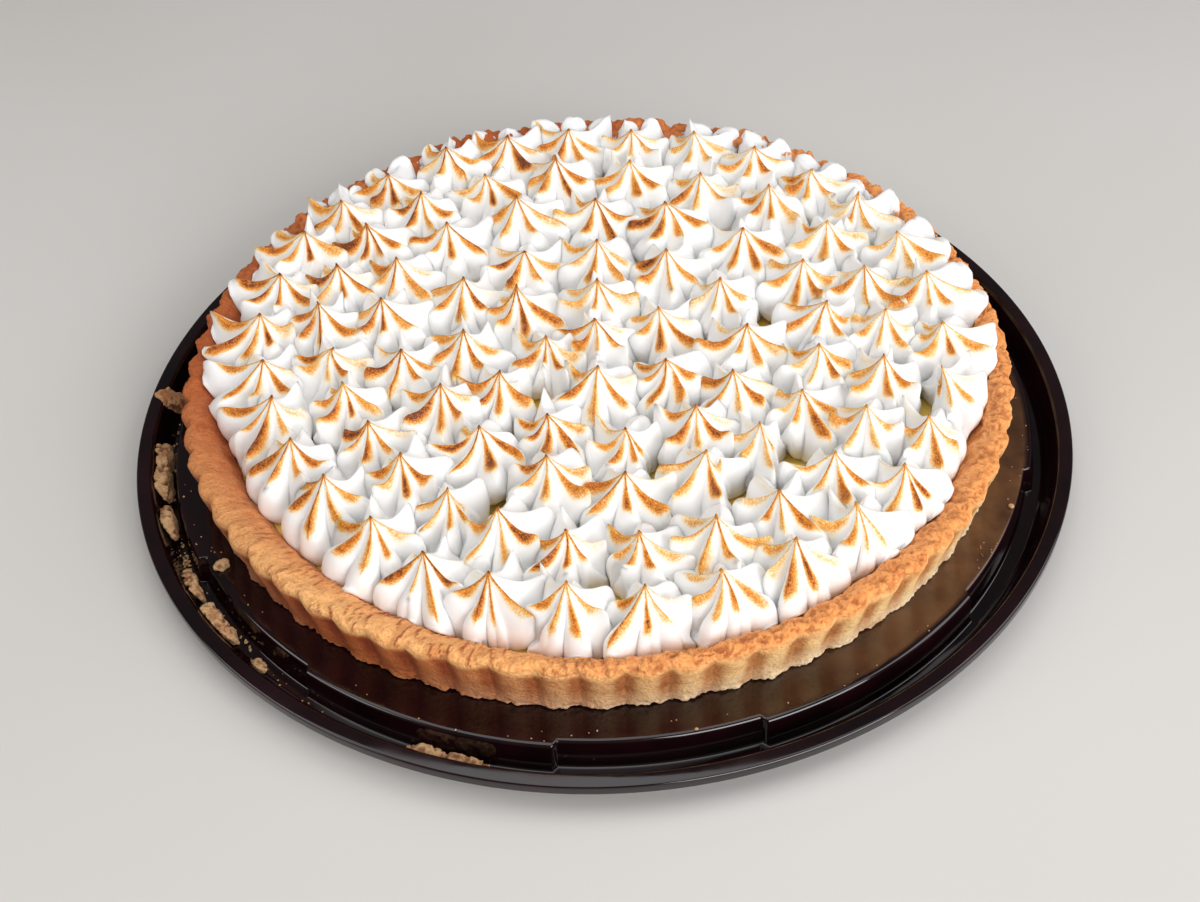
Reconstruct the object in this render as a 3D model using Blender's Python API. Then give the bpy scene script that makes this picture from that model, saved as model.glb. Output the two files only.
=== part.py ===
"""Lemon meringue tart on its black moulded tray.

A fluted shortcrust shell holds a disc of lemon filling, and rings of piped, scorched meringue
kisses cover it.  The tart stands on the raised plateau of the round tray that it comes with.
Broken bits of crust lie in the tray's gutter and beside the tart.

Metres, +Z up.  The origin is the centre of the tray's underside.
"""

import math
import random

import bmesh
import bpy
from mathutils import Vector
from mathutils.geometry import delaunay_2d_cdt

MM = 0.001
TURN = 2 * math.pi
GAP = 0.3 * MM                      # clearance kept between pieces that touch

# ---- tray ----------------------------------------------------------------------------------
TRAY_RADIUS = 160 * MM              # over the outer lip
TRAY_SKIN = 1.0 * MM                # thickness of the moulded sheet
TRAY_SEGMENTS = 60
PLATEAU_HEIGHT = 11.2 * MM          # top of the plateau above the table
PLATEAU_RADIUS = 146.8 * MM         # at the plateau's full lobes
PLATEAU_DRAFT = 1.1 * MM            # how far the plateau's wall spreads on its way down
PLATEAU_ROUND = 0.6 * MM            # rounding of the plateau's edge
GUTTER_RADIUS = 151.4 * MM          # where the gutter floor meets the outer wall
RIM_WALL_RADIUS = 154.6 * MM        # top of that wall
RIM_INNER_RADIUS = 155.6 * MM       # inner edge of the flat rim
RIM_STEP = 1.2 * MM                 # the wall's top lies this far under the rim
LIP_DROP = 3.2 * MM                 # height of the turned-down lip
RECESS_COUNT = 6                    # set-back arcs in the plateau's wall
RECESS_DEPTH = 2.0 * MM
RECESS_WIDTH = math.radians(23.8)
RECESS_PITCH = math.radians(55.4)
RECESS_FIRST = math.radians(219.5)
RECESS_STEP = math.radians(0.6)     # half the angle that a step between arcs takes

# ---- crust ---------------------------------------------------------------------------------
TART_CENTRE = Vector((-1.1 * MM, 2.8 * MM, 0.0))
FLUTES = 68
FLUTE_SAMPLES = 4                   # corners round one flute
FLUTE_START = math.radians(-1.0)    # where the first flute's ridge stands
FLUTE_DEPTH_TOP = 1.1 * MM          # half of ridge to groove
FLUTE_DEPTH_FOOT = 0.6 * MM
CRUST_FOOT_RADIUS = 135.2 * MM
CRUST_CREST_RADIUS = 139.2 * MM
CRUST_HEIGHT = 20.2 * MM
CRUST_FLOOR = 4.0 * MM              # thickness under the filling
CREST_DROP = 1.6 * MM               # the outer edge lies this far under the rim's top
RIM_TOP_RADIUS = 137.4 * MM
# inner wall: radius, height above the crust's underside, share of the rim's spread it takes
CRUST_INNER_WALL = ((135.4 * MM, 19.3 * MM, 0.35), (131.4 * MM, 14.2 * MM, 1.0),
                    (128.6 * MM, 9.9 * MM, 1.0), (127.0 * MM, CRUST_FLOOR, 1.0))
RIM_WOBBLE = 0.5 * MM               # how unevenly a hand left the rim
# where the rim differs: by how much, towards which direction, gone this far from it, in degrees
RIM_HIGH = (3.6 * MM, 82, 95)       # it stands higher at the back
RIM_LOW = (1.4 * MM, -14, 50)       # and lower on the right
# its inner slope is broader at the front left and at the front right
RIM_SPREADS = ((6.0 * MM, 222, 62), (3.0 * MM, -42, 46))
SPREAD_DROP = 0.28                  # the broad slope lies lower by this share of its spread

# ---- filling and meringue ------------------------------------------------------------------
FILLING_LEVEL = 10.0 * MM           # above the crust's underside
FILLING_INSET = 0.8 * MM            # kept from the crust's wall
RING_COUNTS = [6, 12, 18, 25, 31]
RING_RADII = [23.4 * MM, 48.1 * MM, 72.6 * MM, 96.3 * MM, 116.9 * MM]
RING_TURNS = [23.6, 30.7, 9.1, 6.4, 10.2]       # degrees, where each ring's first kiss sits
# in mm: how a ring's radius changes once, twice and three times round, as cosine and sine
RING_WAVES = [((-0.5, -0.6), (2.2, -7.2), (0.0, 1.5)), ((1.6, -1.6), (-0.9, -4.6), (0.0, 2.5)),
              ((3.2, 4.3), (0.5, -5.1), (1.0, 3.7)), ((3.0, 2.7), (-1.5, -3.6), (0.0, 2.5)),
              ((1.5, 2.6), (-2.5, -2.5), (0.0, 1.2))]
# in mm: how far the kisses lie ahead of even spacing, once and twice round
RING_CROWDING = [((-2.7, 0.0), (-2.7, 0.5)), ((-4.2, -4.6), (-2.2, 0.6)),
                 ((-2.9, -4.9), (-4.5, -2.5)), ((-11.8, 5.4), (-1.3, 0.0)),
                 ((-4.2, 3.8), (-0.6, 1.6))]
MIDDLE_KISS = Vector((1.2 * MM, 0.6 * MM))
KISS_SCATTER = 1.5 * MM
KISS_LOBES = 7
KISS_HEIGHT = 22.6 * MM
KISS_HEIGHT_SPREAD = 1.6 * MM
KISS_REACH = 14.2 * MM              # from the middle to a lobe's end between other kisses
NEIGHBOUR_SHARE = 0.47              # a lobe stops at this share of the way to a neighbour
FREE_REACH = 19.0 * MM              # longest lobe that runs out towards the crust
# where the meringue ends: direction in degrees, distance from the tart's middle
MERINGUE_END = ((-180, 136.5 * MM), (-162, 128.5 * MM), (-130, 126.5 * MM), (-90, 132.5 * MM),
                (-60, 131.5 * MM), (-28, 128.5 * MM), (-8, 135.5 * MM), (10, 137.5 * MM),
                (90, 137.5 * MM), (160, 138.0 * MM), (180, 136.5 * MM))
FREE_END_ROUNDING = 3.0 * MM        # a lobe's underside ends this far inside its round end
FREE_END_SPREAD = 1.0 * MM
FREE_END_FACING = 0.25              # a free lobe points at least this much outwards
FREE_END_MARGIN = 1.0 * MM          # and ends this much nearer to its kiss than to any other
KISS_VALLEY = 0.80                  # a valley's reach as a share of a lobe's
KISS_SHOULDER = 0.60                # how far out the middle row of corners lies
KISS_SHOULDER_RISE = 0.67
KISS_SHOULDER_LEAN = 0.4            # how far it follows the tip as it leans
KISS_SHOULDER_VALLEY = 0.50         # the same for a valley
KISS_SHOULDER_VALLEY_RISE = 0.45
KISS_BELLY = 0.84                   # fullest part of a free lobe
KISS_BELLY_HEIGHT = 10.5 * MM
KISS_BELLY_VALLEY = 0.7             # a valley's height there as a share of a lobe's
KISS_FOOT_HEIGHT = 5.5 * MM         # where neighbouring kisses meet
OUTER_RING = len(RING_COUNTS) - 1
TIP_LEAN = 1.6 * MM                 # how far a tip hangs over
OUTER_TIP_LEAN = 2.5 * MM           # the outer ring's tips lean inwards
TIPS_SHIFT = Vector((-1.2 * MM, -0.6 * MM))     # the piping hand drew every tip this way
MERINGUE_REST_INSET = 4.8 * MM      # the flat underside ends this far inside the crust's wall
MERINGUE_REST_MARGIN = 1.5 * MM     # and this far inside a lobe's end
MERINGUE_CLEARANCE = 1.2 * MM       # kept over the crust's sloping inner wall
MERINGUE_SKIRT = 3.0 * MM           # thickness of a lobe's end
OUTLINE_MARGIN = 0.6 * MM           # nothing inside the outline comes nearer to it
LAYOUT_SEED = 11

# ---- broken crust --------------------------------------------------------------------------
# bits wedged in the gutter: first and last angle in degrees, top above the table
GUTTER_PIECES = ((183.6, 193.8, 10.8 * MM), (194.6, 200.5, 9.4 * MM), (206.8, 212.2, 9.6 * MM),
                 (213.2, 220.3, 10.2 * MM), (223.6, 225.8, 6.4 * MM), (246.5, 256.0, 8.6 * MM))
PIECE_STEP = 1.4                    # degrees between a bit's cross-sections
PIECE_END_NARROWING = 0.45          # a bit's ends are this share of its full thickness
PIECE_SEED = 5
SHARD_SIZE = (14 * MM, 9 * MM, 3.2 * MM)
SHARD_PLACE = (math.radians(179.3), 148.4 * MM, 6.6 * MM)   # direction, radius, over the plateau
SHARD_TILT = math.radians(48)
FLAKE_SIZE = (5.6 * MM, 2.8 * MM, 1.6 * MM)
FLAKE_PLACE = (math.radians(210.5), 141.6 * MM, 0.8 * MM + GAP)


# ---- shared helpers ------------------------------------------------------------------------
def clear_scene():
    for thing in list(bpy.data.objects):
        bpy.data.objects.remove(thing, do_unlink=True)


def make_material(name, colour, roughness):
    material = bpy.data.materials.new(name)
    material.use_nodes = True
    shader = material.node_tree.nodes["Principled BSDF"]
    shader.inputs["Base Color"].default_value = (*colour, 1.0)
    shader.inputs["Roughness"].default_value = roughness
    return material


def make_object(name, bm, material, location=(0, 0, 0), smooth_angle=35):
    bmesh.ops.triangulate(bm, faces=bm.faces[:])
    mesh = bpy.data.meshes.new(name)
    bm.to_mesh(mesh)
    bm.free()
    mesh.shade_smooth()
    mesh.set_sharp_from_angle(angle=math.radians(smooth_angle))
    mesh.materials.append(material)
    thing = bpy.data.objects.new(name, mesh)
    thing.location = location
    bpy.context.collection.objects.link(thing)
    return thing


def add_ring(bm, angles, radius, height):
    """A closed row of corners; radius and height are numbers or functions of the angle."""
    corners = []
    for angle in angles:
        r = radius(angle) if callable(radius) else radius
        z = height(angle) if callable(height) else height
        corners.append(bm.verts.new((r * math.cos(angle), r * math.sin(angle), z)))
    return corners


def stitch(bm, first, second):
    """Triangles between two rows that run the same way round, whatever their counts."""
    i = j = 0
    n, m = len(first), len(second)
    while i < n or j < m:
        a, b = first[i % n], second[j % m]
        if j >= m or (i < n and (i + 1) / n <= (j + 1) / m):
            bm.faces.new((a, first[(i + 1) % n], b))
            i += 1
        else:
            bm.faces.new((a, second[(j + 1) % m], b))
            j += 1


def turned_body(rings_of):
    """A closed round body from rows that start under its middle and end on top of its middle."""
    bm = bmesh.new()
    rows = rings_of(bm)
    for lower, upper in zip(rows, rows[1:]):
        stitch(bm, lower, upper)
    bm.faces.new(list(reversed(rows[0])))
    bm.faces.new(rows[-1])
    return bm


def even_angles(count, start=0.0):
    return [start + TURN * k / count for k in range(count)]


def angle_between(a, b):
    return abs((a - b + math.pi) % TURN - math.pi)


def interpolate(low, high, share):
    return low + (high - low) * share


def along_steps(steps, at):
    """The value at this place between steps, each a place and a value, in rising order."""
    for (low, first), (high, second) in zip(steps, steps[1:]):
        if low <= at <= high:
            return interpolate(first, second, (at - low) / (high - low))
    raise ValueError("outside the steps")


def soft_share(low, high, value):
    """From 0 at low to 1 at high, without a corner."""
    share = min(1.0, max(0.0, (value - low) / (high - low)))
    return share * share * (3 - 2 * share)


def facing(angle, bump):
    """A bump's full size in its own direction, falling softly to nothing."""
    size, direction, width = bump
    off = math.degrees(angle_between(angle, math.radians(direction)))
    return size * (0.5 + 0.5 * math.cos(math.pi * min(1.0, off / width)))


# ---- tray ----------------------------------------------------------------------------------
def recess_edges():
    edges = []
    for k in range(RECESS_COUNT):
        middle = RECESS_FIRST + k * RECESS_PITCH
        edges.append((middle - RECESS_WIDTH / 2, middle + RECESS_WIDTH / 2))
    return edges


def plateau_setback(angle):
    """How far the plateau's wall stands back at this angle."""
    for start, end in recess_edges():
        if angle_between(angle, (start + end) / 2) < RECESS_WIDTH / 2:
            return RECESS_DEPTH
    return 0.0


def tray_angles():
    """Even steps round the tray, with a pair of corners at each end of a recess."""
    ends = [edge for pair in recess_edges() for edge in pair]
    clear_of = TURN / TRAY_SEGMENTS * 0.4
    angles = [a for a in even_angles(TRAY_SEGMENTS)
              if all(angle_between(a, end) > clear_of for end in ends)]
    angles += [end % TURN - RECESS_STEP for end in ends]
    angles += [end % TURN + RECESS_STEP for end in ends]
    return sorted(angles)


def tray_rows(bm):
    angles = tray_angles()
    skin = TRAY_SKIN

    def plateau(radius):
        return lambda angle: radius - plateau_setback(angle)

    rim_height = PLATEAU_HEIGHT
    wall_top = rim_height - RIM_STEP
    profile = [
        # underside, from the plateau outwards
        (plateau(PLATEAU_RADIUS - skin * 0.8), PLATEAU_HEIGHT - skin),
        (plateau(PLATEAU_RADIUS + PLATEAU_DRAFT - skin), 0.0),
        (GUTTER_RADIUS + skin * 0.6, 0.0),
        (RIM_WALL_RADIUS + skin * 0.9, wall_top - skin * 0.6),
        (TRAY_RADIUS - skin, rim_height - skin),
        (TRAY_RADIUS - skin, rim_height - LIP_DROP),
        # lip, rim and gutter, from the outside in
        (TRAY_RADIUS, rim_height - LIP_DROP),
        (TRAY_RADIUS, rim_height - PLATEAU_ROUND),
        (TRAY_RADIUS - PLATEAU_ROUND, rim_height),
        (RIM_INNER_RADIUS, rim_height),
        (RIM_WALL_RADIUS, wall_top),
        (GUTTER_RADIUS, skin),
        (plateau(PLATEAU_RADIUS + PLATEAU_DRAFT), skin),
        (plateau(PLATEAU_RADIUS), PLATEAU_HEIGHT - PLATEAU_ROUND),
        (plateau(PLATEAU_RADIUS - PLATEAU_ROUND), PLATEAU_HEIGHT),
    ]
    return [add_ring(bm, angles, radius, height) for radius, height in profile]


def build_tray():
    plastic = make_material("black_plastic", (0.012, 0.010, 0.010), 0.12)
    make_object("tray", turned_body(tray_rows), plastic)


# ---- crust ---------------------------------------------------------------------------------
def rim_rise(angle):
    """How much higher than usual the rim stands in this direction."""
    waves = math.sin(3 * angle + 0.7) + 0.8 * math.sin(7 * angle + 2.1) + 0.7 * math.sin(13 * angle)
    return facing(angle, RIM_HIGH) - facing(angle, RIM_LOW) + RIM_WOBBLE * waves / 2.5


def wall_height(height, angle):
    """The height that a point of the upright wall has once the rim stands higher there."""
    return height + rim_rise(angle) * soft_share(0.35, 0.98, height / CRUST_HEIGHT)


def flute(angle):
    return math.cos(FLUTES * (angle - FLUTE_START))


def inner_wall(angle):
    """The inner wall from its top to the floor, as radius and height in this direction."""
    spread = sum(facing(angle, where) for where in RIM_SPREADS)
    wall = []
    for radius, height, share in CRUST_INNER_WALL:
        drop = spread * share * SPREAD_DROP * height / CRUST_HEIGHT if height > CRUST_FLOOR else 0.0
        wall.append((radius - spread * share, wall_height(height, angle) - drop))
    return wall


def crust_rows(bm):
    fluted = even_angles(FLUTES * FLUTE_SAMPLES, FLUTE_START)
    plain = even_angles(FLUTES, FLUTE_START)
    crest = CRUST_HEIGHT - CREST_DROP
    rows = [
        add_ring(bm, fluted, lambda a: CRUST_FOOT_RADIUS + FLUTE_DEPTH_FOOT * flute(a), 0.0),
        add_ring(bm, fluted, lambda a: CRUST_CREST_RADIUS + FLUTE_DEPTH_TOP * flute(a),
                 lambda a: wall_height(crest, a)),
        add_ring(bm, plain, RIM_TOP_RADIUS, lambda a: wall_height(CRUST_HEIGHT, a)),
    ]
    for row in range(len(CRUST_INNER_WALL)):
        rows.append(add_ring(bm, plain, lambda a, k=row: inner_wall(a)[k][0],
                             lambda a, k=row: inner_wall(a)[k][1]))
    return rows


def crust_base():
    return PLATEAU_HEIGHT + GAP


def tart_point(height):
    """Where a piece of the tart stands, this far over the crust's underside."""
    return TART_CENTRE + Vector((0, 0, crust_base() + height))


def build_crust():
    shortcrust = make_material("shortcrust", (0.62, 0.30, 0.10), 0.75)
    make_object("crust", turned_body(crust_rows), shortcrust, tart_point(0.0))


def inner_wall_radius(height, angle):
    """Radius of the crust's inner wall at a height over the crust's underside."""
    steps = [(z, r) for r, z in reversed(inner_wall(angle))]
    return along_steps(steps, height)


def inner_wall_height(radius, angle):
    """Height of the crust's inner wall over the crust's underside at a radius."""
    steps = list(reversed(inner_wall(angle)))
    rim = (RIM_TOP_RADIUS, wall_height(CRUST_HEIGHT, angle))
    return along_steps([(0.0, CRUST_FLOOR)] + steps + [rim], radius)


# ---- filling -------------------------------------------------------------------------------
def filling_rows(bm):
    angles = even_angles(FLUTES, FLUTE_START)
    inset = FILLING_INSET
    return [add_ring(bm, angles, lambda a: inner_wall(a)[-1][0] - inset, CRUST_FLOOR + GAP),
            add_ring(bm, angles, lambda a: inner_wall_radius(FILLING_LEVEL, a) - inset,
                     FILLING_LEVEL)]


def build_filling():
    lemon = make_material("lemon_filling", (0.72, 0.66, 0.22), 0.30)
    make_object("lemon_filling", turned_body(filling_rows), lemon, tart_point(0.0))


# ---- meringue ------------------------------------------------------------------------------
def unit(angle):
    return Vector((math.cos(angle), math.sin(angle)))


def direction_of(place):
    return math.atan2(place.y, place.x)


def waves(angle, terms):
    """A sum of waves that run once, twice and so on round; their sizes are in mm."""
    return MM * sum(c * math.cos(k * angle) + s * math.sin(k * angle)
                    for k, (c, s) in enumerate(terms, 1))


def ring_point(ring, index):
    """A kiss's place in its ring, with the ring's uneven spacing and its uneven form."""
    even = math.radians(RING_TURNS[ring]) + TURN * index / RING_COUNTS[ring]
    angle = even + waves(even, RING_CROWDING[ring]) / RING_RADII[ring]
    return unit(angle) * (RING_RADII[ring] + waves(angle, RING_WAVES[ring]))


def kiss_layout():
    """Every kiss as (middle, tip, height, turn of its lobes, ring)."""
    rng = random.Random(LAYOUT_SEED)
    places = [(-1, MIDDLE_KISS)]
    for ring, count in enumerate(RING_COUNTS):
        places += [(ring, ring_point(ring, index)) for index in range(count)]
    kisses = []
    for ring, place in places:
        tip = place + unit(rng.uniform(0, TURN)) * KISS_SCATTER * rng.random()
        lean = unit(rng.uniform(0, TURN)) * TIP_LEAN * rng.random() + TIPS_SHIFT
        if ring == OUTER_RING:
            lean -= tip.normalized() * OUTER_TIP_LEAN
        height = KISS_HEIGHT + rng.uniform(-1, 1) * KISS_HEIGHT_SPREAD
        kisses.append((tip - lean, tip, height, rng.uniform(0, TURN), ring))
    return kisses


def nearest_middles(kisses, index, count=8):
    middle = kisses[index][0]
    others = [kiss[0] for k, kiss in enumerate(kisses) if k != index]
    return sorted(others, key=lambda other: (other - middle).length)[:count]


def reach(middle, others, direction, wanted):
    """How far a lobe can run before it meets a neighbour."""
    far = wanted
    for other in others:
        apart = other - middle
        facing = direction.dot(apart)
        if facing > 0:
            far = min(far, NEIGHBOUR_SHARE * apart.length_squared / facing)
    return far


def free_reach(middle, direction, radius):
    """How long a lobe is that runs out to this radius, within the longest that is piped."""
    along = middle.dot(direction)
    to_circle = math.sqrt(along ** 2 + radius ** 2 - middle.length_squared) - along
    return min(FREE_REACH, to_circle)


def is_free(middle, direction, length, others):
    """Whether a lobe's end lies outside every other kiss, at the meringue's edge."""
    end = middle + direction * length
    outward = middle.normalized().dot(direction) > FREE_END_FACING
    nearest = (end - middle).length + FREE_END_MARGIN
    return outward and all((end - other).length > nearest for other in others)


def free_end_radius(direction):
    """How far from the tart's middle the undersides of its outer lobes end."""
    return along_steps(MERINGUE_END, math.degrees(direction)) - FREE_END_ROUNDING


def rest_radius(angle):
    """How far out the meringue's underside is flat."""
    return inner_wall_radius(FILLING_LEVEL, angle) - MERINGUE_REST_INSET


def rest_height(place):
    """The meringue's underside: flat on the filling, then rising over the crust's wall."""
    flat = FILLING_LEVEL + GAP
    angle = direction_of(place)
    if place.length <= rest_radius(angle):
        return flat
    return max(flat, inner_wall_height(place.length, angle) + MERINGUE_CLEARANCE)


def kiss_corners(kisses, index):
    """Corners of one kiss as (place, height), its creases, and its free lobe ends."""
    middle, tip, height, turn, ring = kisses[index]
    rng = random.Random(LAYOUT_SEED + index)
    others = nearest_middles(kisses, index)
    base = FILLING_LEVEL + GAP
    corners = [(tip, base + height)]
    creases = []
    ends = []
    for step in range(2 * KISS_LOBES):
        direction = unit(turn + TURN * step / (2 * KISS_LOBES))
        is_ridge = step % 2 == 0
        spread = rng.uniform(-1, 1) * FREE_END_SPREAD
        end_radius = free_end_radius(direction_of(middle + direction * KISS_REACH)) + spread
        wanted = free_reach(middle, direction, end_radius) if ring == OUTER_RING else KISS_REACH
        wanted *= 1.0 if is_ridge else KISS_VALLEY
        length = reach(middle, others, direction, wanted)
        rise = KISS_SHOULDER_RISE if is_ridge else KISS_SHOULDER_VALLEY_RISE
        out = length * (KISS_SHOULDER if is_ridge else KISS_SHOULDER_VALLEY)
        shoulder = middle.lerp(tip, KISS_SHOULDER_LEAN) + direction * out
        creases.append((0, len(corners)))
        corners.append((shoulder, base + height * rise))
        free = ring == OUTER_RING and is_free(middle, direction, length, others)
        if free:
            end = middle + direction * length
            belly = middle + direction * length * KISS_BELLY
            belly_height = KISS_BELLY_HEIGHT * (1.0 if is_ridge else KISS_BELLY_VALLEY)
            top = max(base + belly_height, rest_height(end) + MERINGUE_SKIRT)
            creases.append((len(corners) - 1, len(corners)))
            corners.append((belly, top))
            ends.append(end)
        elif is_ridge:
            creases.append((len(corners) - 1, len(corners)))
            corners.append((middle + direction * length, base + KISS_FOOT_HEIGHT))
    return corners, creases, ends


def meringue_outline(ends):
    """The free lobe ends in order round the tart."""
    return sorted(ends, key=direction_of)


def triangulate_flat(places, edges):
    result = delaunay_2d_cdt(places, edges, [], 1, 1e-6)
    flat, _, faces, sources = result[0], result[1], result[2], result[3]
    return flat, faces, sources


def outline_radius(outline, angle):
    """Distance from the axis to the outline at a polar angle."""
    angles = [direction_of(place) for place in outline]
    after = next((k for k, a in enumerate(angles) if a > angle), 0)
    start, end = outline[after - 1], outline[after]
    direction = unit(angle)
    side = end - start
    return abs(start.cross(side) / direction.cross(side))


def keep_inside(outline, corners, creases):
    """Leaves out corners outside the outline, and creases that would cross it."""
    def inside(place):
        return place.length < outline_radius(outline, direction_of(place)) - OUTLINE_MARGIN

    kept = [k for k, (place, _) in enumerate(corners) if inside(place)]
    renumber = {old: new for new, old in enumerate(kept)}
    clear = []
    for a, b in creases:
        if a in renumber and b in renumber:
            middles = [corners[a][0].lerp(corners[b][0], share) for share in (0.25, 0.5, 0.75)]
            if all(inside(place) for place in middles):
                clear.append((renumber[a], renumber[b]))
    return [corners[k] for k in kept], clear


def meringue_surface(bm, outline, corners, creases, edge_height):
    """A triangulated sheet inside the outline; returns its corners along the outline."""
    count = len(outline)
    places = list(outline) + [place for place, _ in corners]
    heights = [edge_height(place) for place in outline] + [z for _, z in corners]
    edges = [(k, (k + 1) % count) for k in range(count)]
    edges += [(count + a, count + b) for a, b in creases]
    flat, faces, sources = triangulate_flat(places, edges)
    made = []
    rim = [None] * count
    for place, source in zip(flat, sources):
        height = sum(heights[k] for k in source) / len(source)
        made.append(bm.verts.new((place.x, place.y, height)))
        for k in source:
            if k < count:
                rim[k] = made[-1]
    new_faces = [bm.faces.new([made[k] for k in face]) for face in faces]
    return rim, new_faces


def resting_place(end):
    """Where the flat underside ends, on the line from the axis to a lobe's end."""
    flat = rest_radius(direction_of(end))
    return end.normalized() * min(flat, end.length - MERINGUE_REST_MARGIN)


def build_meringue():
    kisses = kiss_layout()
    corners, creases, ends = [], [], []
    for index in range(len(kisses)):
        own_corners, own_creases, own_ends = kiss_corners(kisses, index)
        creases += [(a + len(corners), b + len(corners)) for a, b in own_creases]
        corners += own_corners
        ends += own_ends
    outline = meringue_outline(ends)
    corners, creases = keep_inside(outline, corners, creases)
    bm = bmesh.new()
    top_rim, _ = meringue_surface(bm, outline, corners, creases,
                                  lambda place: rest_height(place) + MERINGUE_SKIRT)
    rest_ring = [(resting_place(end), FILLING_LEVEL + GAP) for end in outline]
    rest_edges = [(k, (k + 1) % len(outline)) for k in range(len(outline))]
    low_rim, low_faces = meringue_surface(bm, outline, rest_ring, rest_edges, rest_height)
    bmesh.ops.reverse_faces(bm, faces=low_faces)
    stitch(bm, low_rim, top_rim)
    white = make_material("meringue", (0.90, 0.88, 0.84), 0.55)
    make_object("meringue", bm, white, tart_point(0.0))


# ---- broken crust --------------------------------------------------------------------------
def gutter_wall(height):
    """Radius of the gutter's outer wall at a height over the table."""
    share = (height - TRAY_SKIN) / (PLATEAU_HEIGHT - RIM_STEP - TRAY_SKIN)
    return interpolate(GUTTER_RADIUS, RIM_WALL_RADIUS, share)


def piece_section(top, narrowing, rng):
    """Cross-section of a wedged bit, as radius and height, leaning on the outer wall."""
    foot = TRAY_SKIN + 2 * GAP
    middle = interpolate(foot, top, 0.5)
    top = interpolate(middle, top, narrowing)
    inner = PLATEAU_RADIUS + PLATEAU_DRAFT + 1.0 * MM
    near = 1.5 * GAP
    points = [(gutter_wall(foot) - near, foot), (gutter_wall(middle) - near, middle),
              (gutter_wall(top) - near, top),
              (inner + rng.uniform(0.6, 1.6) * MM, top - rng.uniform(0.2, 1.0) * MM),
              (inner + rng.uniform(0.0, 0.8) * MM, middle), (inner + 0.5 * MM, foot)]
    waist = sum(r for r, _ in points) / len(points)
    return [(interpolate(waist, r, narrowing), interpolate(middle, z, narrowing)) for r, z in points]


def build_gutter_piece(name, start, end, top, material, rng):
    bm = bmesh.new()
    steps = max(3, round((end - start) / PIECE_STEP))
    rows = []
    for step in range(steps + 1):
        share = step / steps
        narrowing = PIECE_END_NARROWING if step in (0, steps) else rng.uniform(0.82, 1.0)
        angle = math.radians(interpolate(start, end, share))
        rows.append([bm.verts.new((r * math.cos(angle), r * math.sin(angle), z))
                     for r, z in piece_section(top, narrowing, rng)])
    for first, second in zip(rows, rows[1:]):
        stitch(bm, second, first)
    bm.faces.new(rows[0])
    bm.faces.new(list(reversed(rows[-1])))
    bmesh.ops.recalc_face_normals(bm, faces=bm.faces[:])
    make_object(name, bm, material)


def build_slab(name, size, spin, tilt, place, material, rng):
    """A broken flat bit: an uneven six-sided slab, placed by direction, radius and height."""
    bm = bmesh.new()
    length, width, thickness = size
    rows = []
    for level in (-0.5, 0.5):
        row = []
        for angle in even_angles(6, 0.3):
            shrink = rng.uniform(0.78, 1.0)
            row.append(bm.verts.new((math.cos(angle) * length / 2 * shrink,
                                     math.sin(angle) * width / 2 * shrink, level * thickness)))
        rows.append(row)
    stitch(bm, rows[0], rows[1])
    bm.faces.new(list(reversed(rows[0])))
    bm.faces.new(rows[1])
    slab = make_object(name, bm, material)
    direction, radius, rise = place
    ground = unit(direction) * radius
    slab.rotation_euler = (0.0, tilt, spin)
    slab.location = (ground.x, ground.y, PLATEAU_HEIGHT + rise)


def build_broken_crust():
    rng = random.Random(PIECE_SEED)
    baked = make_material("baked_crumb", (0.60, 0.36, 0.17), 0.85)
    for number, (start, end, top) in enumerate(GUTTER_PIECES, 1):
        build_gutter_piece(f"gutter_piece_{number}", start, end, top, baked, rng)
    # a shard leans on the crust's side, its foot over the gutter
    build_slab("leaning_shard", SHARD_SIZE, math.radians(-1), SHARD_TILT, SHARD_PLACE, baked, rng)
    # a flake lies on the plateau beside the crust
    build_slab("plateau_flake", FLAKE_SIZE, math.radians(30), 0.0, FLAKE_PLACE, baked, rng)


def build():
    clear_scene()
    build_tray()
    build_crust()
    build_filling()
    build_meringue()
    build_broken_crust()


build()
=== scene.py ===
# %% [markdown]
# # A lemon meringue tart on its black tray
#
# The tart is a fluted shortcrust shell with a thin layer of lemon filling. Rings of piped
# meringue kisses cover it, and a torch has scorched their ridges. It stands on the raised
# plateau of a moulded black tray, with some broken crust in the tray's gutter.
#
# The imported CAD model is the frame: it says how big everything is and where it stands. Each
# piece is then made in finer detail, and stands in for the plain CAD solid of the same size.

# %% The frame and the libraries
import math
import random
from collections import namedtuple

import bmesh
import bpy
import numpy as np
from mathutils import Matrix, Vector


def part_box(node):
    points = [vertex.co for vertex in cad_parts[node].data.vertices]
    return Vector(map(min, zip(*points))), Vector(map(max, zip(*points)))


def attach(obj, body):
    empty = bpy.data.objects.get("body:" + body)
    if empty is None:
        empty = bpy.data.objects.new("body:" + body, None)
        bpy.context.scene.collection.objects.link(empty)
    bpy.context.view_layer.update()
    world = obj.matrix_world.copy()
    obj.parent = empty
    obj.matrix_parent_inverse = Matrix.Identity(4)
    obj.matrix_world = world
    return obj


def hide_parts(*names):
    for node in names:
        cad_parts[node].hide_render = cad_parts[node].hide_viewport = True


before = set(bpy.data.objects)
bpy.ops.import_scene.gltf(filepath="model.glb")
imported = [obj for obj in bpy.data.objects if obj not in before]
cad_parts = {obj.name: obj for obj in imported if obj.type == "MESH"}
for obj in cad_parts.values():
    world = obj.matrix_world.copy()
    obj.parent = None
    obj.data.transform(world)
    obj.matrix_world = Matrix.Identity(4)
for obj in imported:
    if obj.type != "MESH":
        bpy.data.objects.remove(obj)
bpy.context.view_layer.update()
MM = 0.001
TURN = 2 * math.pi

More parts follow.
